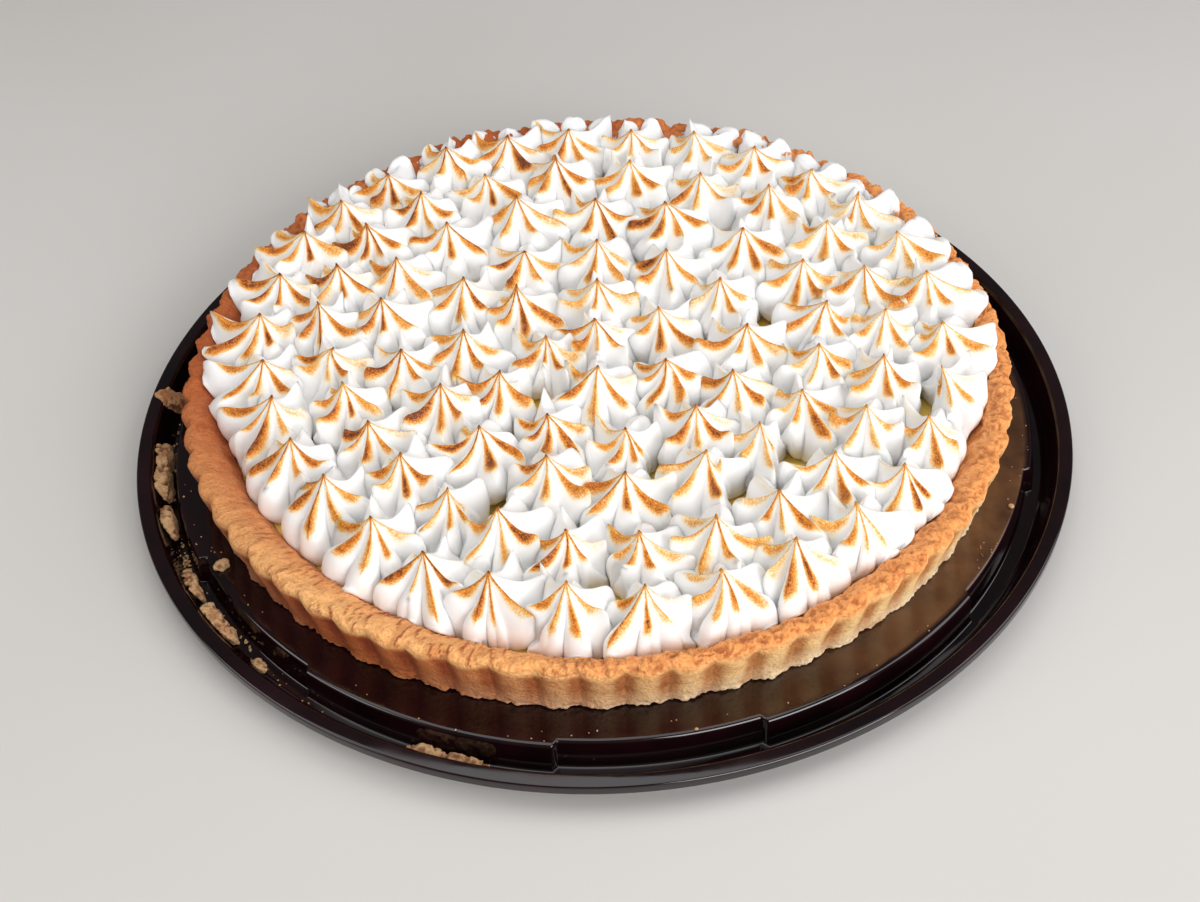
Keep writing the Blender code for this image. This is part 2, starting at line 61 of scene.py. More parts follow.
# %% [markdown]
# ## Measures that every piece shares
#
# A piece is only in the right place if it takes its place from the CAD. So the tart's middle,
# its underside and the level of its filling are read from the boxes of the CAD nodes. Measures
# inside a piece, such as the width of the tray's gutter, follow the CAD's where it has them.

# %% Where things are
crust_low, crust_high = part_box("crust")
filling_low, filling_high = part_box("lemon_filling")
tray_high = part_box("tray")[1]
TART_CENTRE = Vector(((crust_low[0] + crust_high[0]) / 2, (crust_low[1] + crust_high[1]) / 2))
CRUST_BASE = crust_low[2]
FILLING_TOP = filling_high[2]
PLATEAU_TOP = tray_high[2]
TRAY_RADIUS = tray_high[0]
KISS_CLEARANCE = 0.3 * MM
print("tart centre in mm:", [round(v / MM, 2) for v in TART_CENTRE])

# %% [markdown]
# ## Small tools for materials
#
# Colours are written as the hex values that a paint program shows. Blender's shaders count in
# linear light, so one function turns the first into the second. Another adds a node and hands
# back its output, ready to feed the next node, which keeps each material down to a readable
# list. A node's inputs are given by name, or in the order in which Blender shows them: a Map
# Range, for one, takes a value, the two ends it comes from and the two ends it goes to.

# %% Helpers for colours and nodes
BLEND = {"data_type": "RGBA", "blend_type": "MIX"}
DARKEN = {"data_type": "RGBA", "blend_type": "MULTIPLY"}


def linear(hex_colour):
    """An sRGB hex colour as the linear colour that a socket takes."""
    channels = [int(hex_colour[k:k + 2], 16) / 255 for k in (1, 3, 5)]
    return tuple(c / 12.92 if c <= 0.04045 else ((c + 0.055) / 1.055) ** 2.4
                 for c in channels) + (1.0,)


def fill(material, target, value):
    """Feeds an input with another node's output, or sets it to a hex colour or a number."""
    if isinstance(value, bpy.types.NodeSocket):
        material.node_tree.links.new(value, target)
    else:
        target.default_value = linear(value) if isinstance(value, str) else value


def add(material, kind, *inputs, out=None, stops=(), **named):
    """Adds a node. Named values are its fields or inputs; out picks the output it returns."""
    node = material.node_tree.nodes.new("ShaderNode" + kind)
    for name in [name for name in named if hasattr(node, name)]:
        setattr(node, name, named.pop(name))
    live = [s for s in node.inputs if s.enabled]
    for target, value in zip(live, inputs):
        fill(material, target, value)
    for name, value in named.items():
        fill(material, next(s for s in live if s.name == name), value)
    for number, (place, colour) in enumerate(stops):
        elements = node.color_ramp.elements
        stop = elements[number] if number < len(elements) else elements.new(place)
        stop.position = place
        stop.color = linear(colour)
    return next(s for s in node.outputs if s.enabled and out in (None, s.name))


def set_shader(material, **inputs):
    """Fills inputs of a material's principled shader."""
    shader = material.node_tree.nodes["Principled BSDF"]
    for name, value in inputs.items():
        fill(material, shader.inputs[name.replace("_", " ")], value)


def new_material(name, **settings):
    """A material whose principled shader has these settings all over the surface."""
    material = bpy.data.materials.new(name)
    material.use_nodes = True
    set_shader(material, **settings)
    return material


def scale_for(millimetres):
    """The whole-number scale at which a noise texture's lumps are about this wide."""
    return round(1 / (millimetres * MM))


# %% [markdown]
# ## Small tools for shapes
#
# Nearly everything here is turned or piped, so it can be made as rows of corners: each row
# runs once round, and the next row lies above or beside it. Two functions give a stack of such
# rows its corners and the faces that close it. The rows are numpy arrays, which makes a hundred
# thousand corners as easy as ten.

# %% Helpers for meshes
def tube_faces(rows, columns, first=0):
    """Quads between rows, and the two fans that close the first and the last row."""
    column = np.arange(columns)
    beside = (column + 1) % columns
    row = first + columns * np.arange(rows - 1)[:, None]
    a, b = row + column, row + beside
    quads = np.stack([a, b, b + columns, a + columns], -1).reshape(-1, 4)
    low, high = first + rows * columns, first + rows * columns + 1
    top = first + (rows - 1) * columns
    under = np.stack([first + beside, first + column, np.full(columns, low)], -1)
    over = np.stack([top + column, top + beside, np.full(columns, high)], -1)
    return quads, np.concatenate([under, over])


def tube_corners(rows):
    """The rows' corners in order, with a middle point for each end."""
    return np.concatenate([rows.reshape(-1, 3), [rows[0].mean(0)], [rows[-1].mean(0)]])


def turned(radius, angle, height):
    """Corners at these distances, directions and heights round the middle."""
    return np.stack([radius * np.cos(angle), radius * np.sin(angle), height], -1)


def put_in_scene(name, data):
    """An object in the scene that shows this mesh, lamp or camera."""
    thing = bpy.data.objects.new(name, data)
    bpy.context.scene.collection.objects.link(thing)
    return thing


def make_piece(name, slot, nodes, material, corners, quads, triangles, fields=None):
    """A smooth shaded mesh object that rides on the tart and stands for its CAD nodes."""
    mesh = bpy.data.meshes.new(name)
    mesh.vertices.add(len(corners))
    mesh.vertices.foreach_set("co", np.asarray(corners, np.float32).ravel())
    sizes = np.concatenate([np.full(len(quads), 4), np.full(len(triangles), 3)])
    loops = np.concatenate([np.ravel(quads), np.ravel(triangles)]).astype(np.int32)
    mesh.loops.add(len(loops))
    mesh.loops.foreach_set("vertex_index", loops)
    mesh.polygons.add(len(sizes))
    mesh.polygons.foreach_set("loop_start", (np.cumsum(sizes) - sizes).astype(np.int32))
    mesh.update(calc_edges=True)
    mesh.shade_smooth()
    for field, values in (fields or {}).items():
        layer = mesh.attributes.new(field, "FLOAT", "POINT")
        layer.data.foreach_set("value", np.asarray(values, np.float32).ravel())
    mesh.materials.append(material)
    piece = put_in_scene(name, mesh)
    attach(piece, "root")
    if nodes:
        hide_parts(*nodes)
    print(name, len(quads) * 2 + len(triangles), "triangles")


# %% [markdown]
# Baked and piped food is never even. Random numbers alone look like static, so unevenness
# comes from smooth noise: random values on a lattice, blended between its corners. Its size is
# given in metres, like every other length here.

# %% Smooth noise
# large odd numbers that spread each count, and the seed, over all the bits
LATTICE_FACTORS = (374761393, 668265263, 974634777)
SEED_FACTOR = 362437
STIR_FACTOR = 1274126177
ALL_BITS = 0xFFFFFFFF


def lattice_value(cells, seed):
    """A value from -1 to 1 for each lattice cell, the same on every run."""
    stirred = sum(cells[..., k] * factor for k, factor in enumerate(LATTICE_FACTORS))
    stirred = (stirred + seed * SEED_FACTOR) & ALL_BITS
    stirred = ((stirred ^ (stirred >> 13)) * STIR_FACTOR) & ALL_BITS
    stirred = stirred ^ (stirred >> 16)
    return (stirred & 0xFFFF) / 32767.5 - 1.0


def noise(points, size, seed=0):
    """Smooth noise from -1 to 1 whose lumps are about this wide."""
    scaled = np.asarray(points) / size
    cell = np.floor(scaled).astype(np.int64)
    part = scaled - cell
    part = part * part * (3 - 2 * part)
    total = 0.0
    for corner in np.ndindex(2, 2, 2):
        offset = np.array(corner)
        weight = np.where(offset == 1, part, 1 - part).prod(-1)
        total = total + weight * lattice_value(cell + offset, seed)
    return total


def rough(points, size, octaves=3, seed=0):
    """Noise with finer noise on top of it, as broken or baked surfaces have."""
    total = 0.0
    for octave in range(octaves):
        total = total + noise(points, size / 2 ** octave, seed + octave) / 2 ** octave
    return total


def smoothstep(low, high, value):
    """0 below the first value, 1 above the second, and a soft climb between them."""
    share = np.clip((value - low) / (high - low), 0.0, 1.0)
    return share * share * (3 - 2 * share)


def half_turn(degrees):
    """The same direction, counted from -180 to 180."""
    return (degrees + 180) % 360 - 180


def facing(angle, degrees, width):
    """1 in this direction, falling softly to 0 this many degrees away from it."""
    off = np.abs(half_turn(np.degrees(angle) - degrees))
    return 0.5 + 0.5 * np.cos(math.pi * np.clip(off / width, 0, 1))


def smooth_curve(knots, count):
    """A smooth curve through knots, as count points evenly spread over the knots' first value."""
    knots = np.array(knots, float)
    at = np.linspace(knots[0, 0], knots[-1, 0], count)
    slopes = np.gradient(knots[:, 1:], knots[:, 0], axis=0)
    index = np.clip(np.searchsorted(knots[:, 0], at, side="right") - 1, 0, len(knots) - 2)
    width = (knots[index + 1, 0] - knots[index, 0])[:, None]
    share = (at - knots[index, 0])[:, None] / width
    square, cube = share ** 2, share ** 3
    return ((2 * cube - 3 * square + 1) * knots[index, 1:]
            + (cube - 2 * square + share) * width * slopes[index]
            + (3 * square - 2 * cube) * knots[index + 1, 1:]
            + (cube - square) * width * slopes[index + 1])


# %% [markdown]
# ## The tray
#
# The tray is one sheet of black polystyrene, drawn down into a mould by a vacuum: a round
# plateau, a gutter 3.5 mm wide at its bottom, and a flat rim with a turned-down lip. Such a
# sheet has no sharp corner anywhere, and its rounded corners are what catches the light as thin
# bright lines. So the section is drawn as straight runs, every corner is rounded, and the
# result is turned round the middle. Six shallow recesses stand back in the plateau's wall.

# %% The tray's section
SKIN = 1.0 * MM
PLATEAU_RADIUS = 146.8 * MM
PLATEAU_DRAFT = 1.1 * MM
GUTTER_RADIUS = 151.4 * MM
RIM_WALL_RADIUS = 154.6 * MM
RIM_INNER_RADIUS = 155.6 * MM
RIM_STEP = 1.2 * MM
LIP_DROP = 3.2 * MM
RECESS_DEPTH = 2.0 * MM
RECESS_WIDTH = 23.8
RECESS_PITCH = 55.4
RECESS_FIRST = 219.5
RECESS_COUNT = 6


def tray_section():
    """Radius, height, rounding and how far it follows the recesses, from below to above."""
    top = PLATEAU_TOP
    step = top - RIM_STEP
    foot = PLATEAU_RADIUS + PLATEAU_DRAFT
    return [
        (PLATEAU_RADIUS - SKIN - 4 * MM, top - SKIN, 0.0, 1),
        (PLATEAU_RADIUS - SKIN * 0.9, top - SKIN, 0.5 * MM, 1),
        (foot - SKIN, 0.0, 0.4 * MM, 1),
        (GUTTER_RADIUS + SKIN * 0.6, 0.0, 0.9 * MM, 0),
        (RIM_WALL_RADIUS + SKIN * 0.9, step - SKIN * 0.6, 0.4 * MM, 0),
        (TRAY_RADIUS - SKIN, top - SKIN, 0.4 * MM, 0),
        (TRAY_RADIUS - SKIN, top - LIP_DROP, 0.2 * MM, 0),
        (TRAY_RADIUS, top - LIP_DROP, 0.3 * MM, 0),
        (TRAY_RADIUS, top, 0.9 * MM, 0),
        (RIM_INNER_RADIUS, top, 0.45 * MM, 0),
        (RIM_WALL_RADIUS, step, 0.5 * MM, 0),
        (GUTTER_RADIUS, SKIN, 1.1 * MM, 0),
        (foot, SKIN, 0.8 * MM, 1),
        (PLATEAU_RADIUS, top, 1.9 * MM, 1),
        (PLATEAU_RADIUS - 3 * MM, top, 0.0, 1),
        (PLATEAU_RADIUS - 22 * MM, top, 0.0, 0),
    ]


CORNER_STEPS = 7
# a curve takes up at most this share of the run on either side of its corner
LONGEST_CORNER = 0.48


def round_corners(section):
    """Replaces each corner by a short curve that leaves and meets its two straight runs."""
    points = [np.array([r, z, follow], float) for r, z, _, follow in section]
    out = [points[0]]
    for k in range(1, len(points) - 1):
        back, here, ahead = points[k - 1], points[k], points[k + 1]
        before = np.linalg.norm((back - here)[:2])
        after = np.linalg.norm((ahead - here)[:2])
        length = min(section[k][2], before * LONGEST_CORNER, after * LONGEST_CORNER)
        if length == 0:
            out.append(here)
            continue
        start = here + (back - here) * length / before
        end = here + (ahead - here) * length / after
        for share in np.linspace(0, 1, CORNER_STEPS):
            out.append(start * (1 - share) ** 2 + here * 2 * share * (1 - share)
                       + end * share ** 2)
    out.append(points[-1])
    return np.array(out)


# %% [markdown]
# The recesses need more corners where they begin and end than anywhere else, so the turn is
# cut into even steps and then into much finer ones at those twelve places.

# %% Turning the tray
EVEN_STEP = 0.75
RECESS_END = 0.35
SWELL = 0.05 * MM
SWELL_SIZE = 18 * MM
# where the brown painted reflection lies on the plateau: direction and reach in degrees
PAINTED_REFLECTION_SIDE = (-30, 62)


def recess_ends():
    """Directions in degrees of both ends of each recess."""
    middles = [RECESS_FIRST + k * RECESS_PITCH for k in range(RECESS_COUNT)]
    return [(m + side * RECESS_WIDTH / 2) % 360 for m in middles for side in (-1, 1)]


def setback(degrees):
    """How far the plateau's wall stands back: nothing, or a recess with soft ends."""
    depth = np.zeros_like(degrees)
    for k in range(RECESS_COUNT):
        off = np.abs(half_turn(degrees - RECESS_FIRST - k * RECESS_PITCH))
        depth = np.maximum(depth, 1 - smoothstep(-RECESS_END, RECESS_END, off - RECESS_WIDTH / 2))
    return depth * RECESS_DEPTH


def tray_mesh():
    near_end = np.linspace(-2 * RECESS_END, 2 * RECESS_END, 13)
    fine = [end + step for end in recess_ends() for step in near_end]
    even = np.arange(0, 360, EVEN_STEP)
    degrees = np.unique(np.round(np.concatenate([even, fine]) % 360, 4))
    section = round_corners(tray_section())
    radius = section[:, 0:1] - section[:, 2:3] * setback(degrees)
    height = np.repeat(section[:, 1:2], len(degrees), 1)
    corners = tube_corners(turned(radius, np.radians(degrees), height))
    # a drawn sheet is never quite flat: it swells and sinks by a few hundredths of a millimetre
    corners[:, 2] += SWELL * noise(corners, SWELL_SIZE, 3)
    # painted reflection: a brown patch on the plateau's front right, for the mirrored crust
    there = facing(np.arctan2(corners[:, 1], corners[:, 0]), *PAINTED_REFLECTION_SIDE)
    painted_reflection = there * (corners[:, 2] > PLATEAU_TOP - 0.2 * MM)
    painted_reflection = painted_reflection * (np.hypot(corners[:, 0], corners[:, 1]) < PLATEAU_RADIUS - 2 * MM)
    return (corners, *tube_faces(len(section), len(degrees)), {"painted_reflection": painted_reflection})


# %% [markdown]
# ### Black polystyrene, vacuum formed
#
# Food trays of this kind are dyed black through and through and come glossy out of the mould.
# Polystyrene's IOR is about 1.59, a bit more mirror than most plastics, so the crust shows in
# it. The dye is not quite neutral: where light gets into it, it turns a very dark wine red.
# Handling leaves a faint haze, drawn as a slow change of the roughness. On the front right of
# the plateau, a brown patch is painted reflection of the crust and a warm room, and less glossy.

# %% The tray's material and piece
def vacuum_formed_polystyrene():
    material = new_material("black_polystyrene_vacuum_formed", IOR=1.59)
    place = add(material, "TexCoord", out="Object")
    haze = add(material, "TexNoise", Vector=place, Scale=scale_for(18.2), Detail=3.0)
    gloss = add(material, "MapRange", haze, 0.35, 0.75, 0.05, 0.16)
    dye = add(material, "ValToRGB", haze, stops=[(0.35, "#0F0507"), (0.7, "#1E080D")])
    cloud = add(material, "TexNoise", Vector=place, Scale=scale_for(11.1), Detail=5.0)
    patchy = add(material, "MapRange", cloud, 0.3, 0.7, 0.35, 1.0)
    painted_reflection = add(material, "Attribute", attribute_name="painted_reflection", out="Fac")
    # painted reflection: brown mixed into the dye, and a higher roughness, in that patch
    reflection_share = add(material, "Math", painted_reflection, patchy, operation="MULTIPLY")
    with_reflection = add(material, "Mix", reflection_share, dye, "#68482E", **BLEND)
    duller = add(material, "Math", reflection_share, 0.16, operation="MULTIPLY")
    roughness = add(material, "Math", gloss, duller, operation="ADD")
    # the sheet's own ripple, a few millimetres long and a few hundredths deep
    ripple = add(material, "TexNoise", Vector=place, Scale=scale_for(6.25), Detail=1.0)
    bump = add(material, "Bump", Height=ripple, Strength=0.05, Distance=0.4 * MM)
    set_shader(material, Base_Color=with_reflection, Roughness=roughness, Normal=bump)
    return material


make_piece("moulded_tray", "black_plastic", ["tray"], vacuum_formed_polystyrene(), *tray_mesh())

# %% [markdown]
# ## The shortcrust shell
#
# Shortcrust is a sandy dough of flour, butter and sugar, pressed by hand into a fluted tin.
# The tin gives the outside 68 even ribs with tight notches between them. The rim is cut and
# thumbed by hand, so it differs all the way round: higher at the back, lowest on the right,
# pressed into a broad sloping band on the front left and a narrower one on the front right.
# Small functions of the direction, seen from the tart's middle, say all of that, and other
# pieces ask them too. Directions count from the right: the back is 90 and the front -90.

# %% How the rim changes round the tart
RIBS = 68
RIB_START = math.radians(-1.0)
CRUST_HEIGHT = 20.2 * MM
RIB_DEPTH_TOP = 0.95 * MM
RIB_DEPTH_FOOT = 0.60 * MM
# direction and reach of each change, in degrees
HIGH_BACK = (82, 95)
LOW_RIGHT = (-14, 50)
BROAD_BAND = (222, 62)
NARROW_BAND = (-42, 46)


def rim_rise(angle):
    """How much higher than usual the rim stands, with the unevenness of a hand."""
    hand = np.sin(3 * angle + 0.7) + 0.8 * np.sin(7 * angle + 2.1) + 0.7 * np.sin(13 * angle)
    return (3.6 * facing(angle, *HIGH_BACK) - 1.4 * facing(angle, *LOW_RIGHT) + 0.2 * hand) * MM


def rim_spread(angle):
    """How much broader than usual the rim's inner slope is."""
    return 6.0 * MM * facing(angle, *BROAD_BAND) + 3.0 * MM * facing(angle, *NARROW_BAND)


def rib(angle):
    """1 on a rib's round back and -1 in the notch between two ribs."""
    turns = (angle - RIB_START) * RIBS / TURN
    share = 2 * np.abs(turns - np.round(turns))
    return 1 - 2 * share ** 1.7


# %% [markdown]
# The shell is a section turned round the middle, like the tray, and then changed by those
# functions. Last comes the roughness: an open crumb, cracked and pitted, on the right and at
# the back, where the rim was cut, small peaks where it broke at the back, and soft lumps at
# the front left, where a thumb pressed it down. On the left the ribs stand out most. The
# bottom edge is ragged, since crumbs broke off it. On the front left the pressed dough tore
# into scales: each rises slowly for about 3 mm and drops at its edge, like a saw's teeth, and
# noise bends and breaks the edges.

# %% The shell's mesh
# share of the way round the section: radius and height in mm, how ribbed, how rough, how inner
SHELL_SECTION = [
    (0.00, 127.0, 0.0, 0.0, 0.0, 0), (0.05, 134.2, 0.0, 0.7, 0.4, 0),
    (0.08, 135.7, 0.2, 1.0, 1.3, 0), (0.12, 135.9, 1.1, 1.0, 1.0, 0),
    (0.22, 136.5, 6.0, 1.0, 0.4, 0), (0.34, 137.8, 12.0, 1.0, 0.4, 0),
    (0.44, 138.9, 16.6, 1.0, 0.5, 0), (0.50, 139.1, 18.5, 0.9, 0.9, 0),
    (0.55, 138.7, 19.7, 0.8, 1.2, 0), (0.60, 137.4, 20.2, 0.35, 1.2, 0),
    (0.67, 135.4, 19.8, 0.05, 1.2, 0.35), (0.75, 133.3, 17.8, 0.0, 0.9, 0.9),
    (0.84, 131.2, 14.0, 0.0, 0.5, 1), (0.93, 128.7, 10.0, 0.0, 0.3, 1),
    (1.00, 127.0, 4.2, 0, 0, 1)]
SECTION_STEPS = 60
COLUMNS_PER_RIB = 24
INNER_DROP = 0.28
SECTION_LENGTH = 60 * MM
RIM_RADIUS = 138 * MM
SCALE_LENGTH = 3.0 * MM
SCALE_SLANT = 0.12
# direction and reach of each change, in degrees
DEEP_RIBS = (182, 60)
TORN_BAND = (241, 62)
PRESSED_BAND = (215, 80)
BROKEN_BACK = (88, 95)
# the painted shade in the rim's holes is strongest at the front
DEEPEST_PIT_SHADE = (-84, 34)
# the wall at the front left gets painted shade; the left and the back are drawn darker
DARKER_SIDES = {"front_left_painted_shade": (236, 60), "left": (178, 70), "back": (104, 75)}


def shell_form(angle, section):
    """Radius and height over the tart's underside, for each row and each direction."""
    ribbed, inner = section[:, 2:3], section[:, 4:5]
    radius = section[:, 0:1] * MM + 0 * angle
    height = section[:, 1:2] * MM + 0 * angle
    share_up = np.clip(height / CRUST_HEIGHT, 0, 1)
    depth = RIB_DEPTH_FOOT + (RIB_DEPTH_TOP - RIB_DEPTH_FOOT) * share_up
    depth = depth * (1 + 0.6 * facing(angle, *DEEP_RIBS) * share_up)
    radius = radius + ribbed * depth * rib(angle)
    height = height + rim_rise(angle) * smoothstep(0.35, 0.98, share_up)
    radius = radius - rim_spread(angle) * inner
    height = height - rim_spread(angle) * INNER_DROP * inner * share_up
    return radius, height


def torn_scales(points, angle, way):
    """Height of the torn scales, from 0 to 1, and the painted shade along each one's edge."""
    across = way * SECTION_LENGTH
    bend = 1.5 * MM * noise(points, 5.0 * MM, 21) + 0.5 * MM * noise(points, 2.1 * MM, 22)
    teeth = (angle * RIM_RADIUS + SCALE_SLANT * across + bend) / SCALE_LENGTH
    rise = teeth - np.floor(teeth)
    on_rim = smoothstep(0.44, 0.54, way) * (1 - smoothstep(0.86, 0.94, way))
    there = facing(angle, *TORN_BAND) * on_rim
    whole = there * smoothstep(-0.35, 0.25, noise(points, 3.3 * MM, 25))
    # painted shade: a dark line where each scale drops at its edge
    line = smoothstep(0.68, 0.84, rise) * (1 - smoothstep(0.94, 1.0, rise))
    return whole * rise ** 1.5 * (1 - smoothstep(0.84, 1.0, rise)), whole * line


def rim_roughness(points, angle, section):
    """How far the dough stands out in mm, painted shade of its holes and scale edges, how open it
    is.
    """
    rugged = section[:, 3:4]
    way = np.linspace(0, 1, len(section))[:, None]
    rim = smoothstep(0.42, 0.56, way)
    foot = 1 - smoothstep(0.10, 0.20, way)
    open_crumb = (1 - facing(angle, *PRESSED_BAND)) * rim * np.clip(rugged, 0, 1)
    lumps = rough(points, 5.5 * MM, 4, 11)
    pits = smoothstep(0.12, 0.75, rough(points, 1.9 * MM, 2, 31))
    cracks = 1 - smoothstep(0.0, 0.20, np.abs(rough(points, 3.4 * MM, 2, 36)))
    holes = np.maximum(0.9 * pits, 0.75 * cracks)
    push = (0.16 + 0.22 * rugged) * lumps
    push = push + open_crumb * (0.80 * rough(points, 2.8 * MM, 3, 41) + 0.25 - 0.90 * holes)
    push = push + (1 - open_crumb) * rim * 0.28 * rough(points, 4.0 * MM, 2, 60)
    jagged = facing(angle, *BROKEN_BACK) * rim * np.clip(rugged, 0, 1)
    push = push + jagged * 4.6 * np.maximum(0, noise(points, 4.4 * MM, 64) - 0.12)
    ragged = 0.60 * rough(points, 1.2 * MM, 2, 71) + 0.20 * noise(points, 6 * MM, 73)
    push = push + foot * ragged
    scales, scale_edge_shade = torn_scales(points, angle, way)
    # painted shade in the holes of the open crumb, strongest at the front
    browned = 0.65 + 0.35 * facing(angle, *DEEPEST_PIT_SHADE)
    return push + 0.9 * scales, holes * open_crumb * browned, scale_edge_shade, open_crumb


def shell_mesh():
    section = smooth_curve(SHELL_SECTION, SECTION_STEPS)
    section[:, 2:] = np.clip(section[:, 2:], 0, 1.3)
    columns = RIBS * COLUMNS_PER_RIB
    angle = np.linspace(0, TURN, columns, endpoint=False)[None, :] + RIB_START
    radius, height = shell_form(angle, section)
    push, pit_shade, scale_edge_shade, torn = rim_roughness(turned(radius, angle, height), angle, section)
    out, up = np.gradient(section[:, 1]), -np.gradient(section[:, 0])
    length = np.hypot(out, up)
    radius = radius + (out / length)[:, None] * push * MM
    height = np.maximum(height + (up / length)[:, None] * push * MM, 0.0)
    spot = turned(radius, angle, height)
    way = np.linspace(0, 1, SECTION_STEPS)[:, None]
    groove = smoothstep(0.0, 0.62, 0.5 - 0.5 * rib(angle))
    # the pits and the torn scales' edges carry painted shade
    fields = {"pit_shade": pit_shade, "groove": section[:, 2:3] * groove, "inside": section[:, 4:5],
              "torn": torn, "scale_edge_shade": scale_edge_shade,
              "rim": smoothstep(0.40, 0.50, way + 0.03 * rough(spot, 5.5 * MM, 3, 11))}
    for name, side in DARKER_SIDES.items():
        fields[name] = facing(angle, *side)
    fields = {name: np.append(np.broadcast_to(values, radius.shape).ravel(), [0, 0])
              for name, values in fields.items()}
    corners = tube_corners(spot) + [TART_CENTRE[0], TART_CENTRE[1], CRUST_BASE]
    return (corners, *tube_faces(SECTION_STEPS, columns), fields)


# %% [markdown]
# ### Shortcrust, baked in a tin
#
# Flour and butter brown where they are thin and hot. So the notches and the rim are a deep
# golden brown, the ribs stay the colour of pale sand, and the bottom edge is paler still. The
# crumb is a grain of 0.3 to 0.6 mm that scatters light, which makes the surface quite matt.
# The wall at the front left gets painted shade, and the left side and the back are drawn
# darker than the rest. Where the rim was cut, its open crumb has baked to a deep orange brown,
# and its pits and the edges of the torn scales get painted shade beyond what their form casts.

# %% The shell's material and piece
def baked_shortcrust():
    material = new_material(
        "shortcrust_baked", Roughness=0.78, Subsurface_Weight=0.06,
        Subsurface_Scale=1.0 * MM, Subsurface_Radius=(1.0, 0.6, 0.35))
    place = add(material, "TexCoord", out="Object")
    mottle = add(material, "TexNoise", Vector=place, Scale=scale_for(5.88), Detail=5.0)
    # the crumb's grain, drawn at 0.9 mm, about twice its real size, to be seen
    grain = add(material, "TexNoise", Vector=place, Scale=scale_for(0.909), Detail=3.0)
    groove, rim, torn, inside, pit_shade, scale_edge_shade, front_left_painted_shade, left, back = (
        add(material, "Attribute", attribute_name=name, out="Fac")
        for name in ("groove", "rim", "torn", "inside", "pit_shade", "scale_edge_shade", *DARKER_SIDES))
    height = add(material, "SeparateXYZ", place, out="Z")
    up = add(material, "MapRange", height, CRUST_BASE, CRUST_BASE + CRUST_HEIGHT, 0.0, 1.0)
    wall = add(material, "ValToRGB", up, stops=[
        (0.0, "#FFF0D2"), (0.08, "#FCE0B4"), (0.45, "#FFD698"), (1.0, "#FFCA84")])
    browner_up = add(material, "MapRange", up, 0.0, 0.45, 0.25, 0.86)
    spots = add(material, "ValToRGB", mottle, stops=[
        (0.30, "#DDB894"), (0.48, "#FFFFFF"), (0.75, "#FFF6E6")])
    sand = add(material, "ValToRGB", grain, stops=[
        (0.34, "#CBA27A"), (0.5, "#FFFFFF"), (0.8, "#FFFFFF")])
    grooved = add(material, "Math", groove, browner_up, operation="MULTIPLY")
    open_crumb = add(material, "Math", torn, 0.75, operation="MULTIPLY")
    below_rim = add(material, "Math", 1.0, rim, operation="SUBTRACT")
    # painted shade on the wall at the front left, below the rim
    painted_shade_wall = add(material, "Math", front_left_painted_shade, below_rim, operation="MULTIPLY")
    # each layer of colour lies over the one before it
    colour = wall
    for blend, amount, layer in (
            (BLEND, grooved, "#B86C2C"), (BLEND, rim, "#FFC883"), (BLEND, open_crumb, "#F79C50"),
            # painted shade darkens the wall at the front left; the left and the back are darker
            # too
            (BLEND, inside, "#F6AE6C"), (DARKEN, painted_shade_wall, "#C27C50"),
            (DARKEN, left, "#B88468"), (DARKEN, back, "#C89878"), (DARKEN, 0.6, spots),
            # painted shade in the rim's pits and cracks and along the torn scales' edges
            (BLEND, pit_shade, "#A2501E"), (DARKEN, scale_edge_shade, "#98582E"), (DARKEN, 0.42, sand)):
        colour = add(material, "Mix", amount, colour, layer, **blend)
    coarse = add(material, "Math", mottle, 1.6, operation="MULTIPLY")
    relief = add(material, "Math", grain, coarse, operation="ADD")
    bump = add(material, "Bump", Height=relief, Strength=0.9, Distance=0.7 * MM)
    set_shader(material, Base_Color=colour, Normal=bump)
    return material


make_piece("fluted_shell", "shortcrust", ["crust"], baked_shortcrust(), *shell_mesh())

# %% [markdown]
# ## The lemon filling
#
# Under the meringue lies a thin layer of lemon cream, set like a firm custard. It only shows in
# small gaps between the kisses and along the crust, so a shallow disc with a gently uneven,
# satin top is enough. It climbs a little where it meets the crust, as it did when it was wet.

# %% The filling
FILLING_COLUMNS = 240
# shares of the edge's radius and of the layer's thickness, from below to the middle of the top
FILLING_RADII = [0.3, 0.985, 1.0, 1.0, 0.985, 0.95, 0.9, 0.8, 0.65, 0.5, 0.3, 0.12]
FILLING_HEIGHTS = [0, 0, 0.05, 0.96, 1.0, 0.99, 0.97, 0.96, 0.96, 0.96, 0.96, 0.96]
UNEVEN_TOP = 0.25 * MM


def filling_mesh():
    radii = np.array(FILLING_RADII)[:, None] * (filling_high[0] - TART_CENTRE[0])
    thickness = FILLING_TOP - filling_low[2]
    heights = filling_low[2] + thickness * np.array(FILLING_HEIGHTS)[:, None]
    angle = np.linspace(0, TURN, FILLING_COLUMNS, endpoint=False)[None, :]
    rows = turned(radii, angle, heights + 0 * angle) + [TART_CENTRE[0], TART_CENTRE[1], 0.0]
    rows[4:, :, 2] -= UNEVEN_TOP * (1 + noise(rows[4:], 14 * MM, 8)) * 0.5
    return (tube_corners(rows), *tube_faces(len(radii), FILLING_COLUMNS))


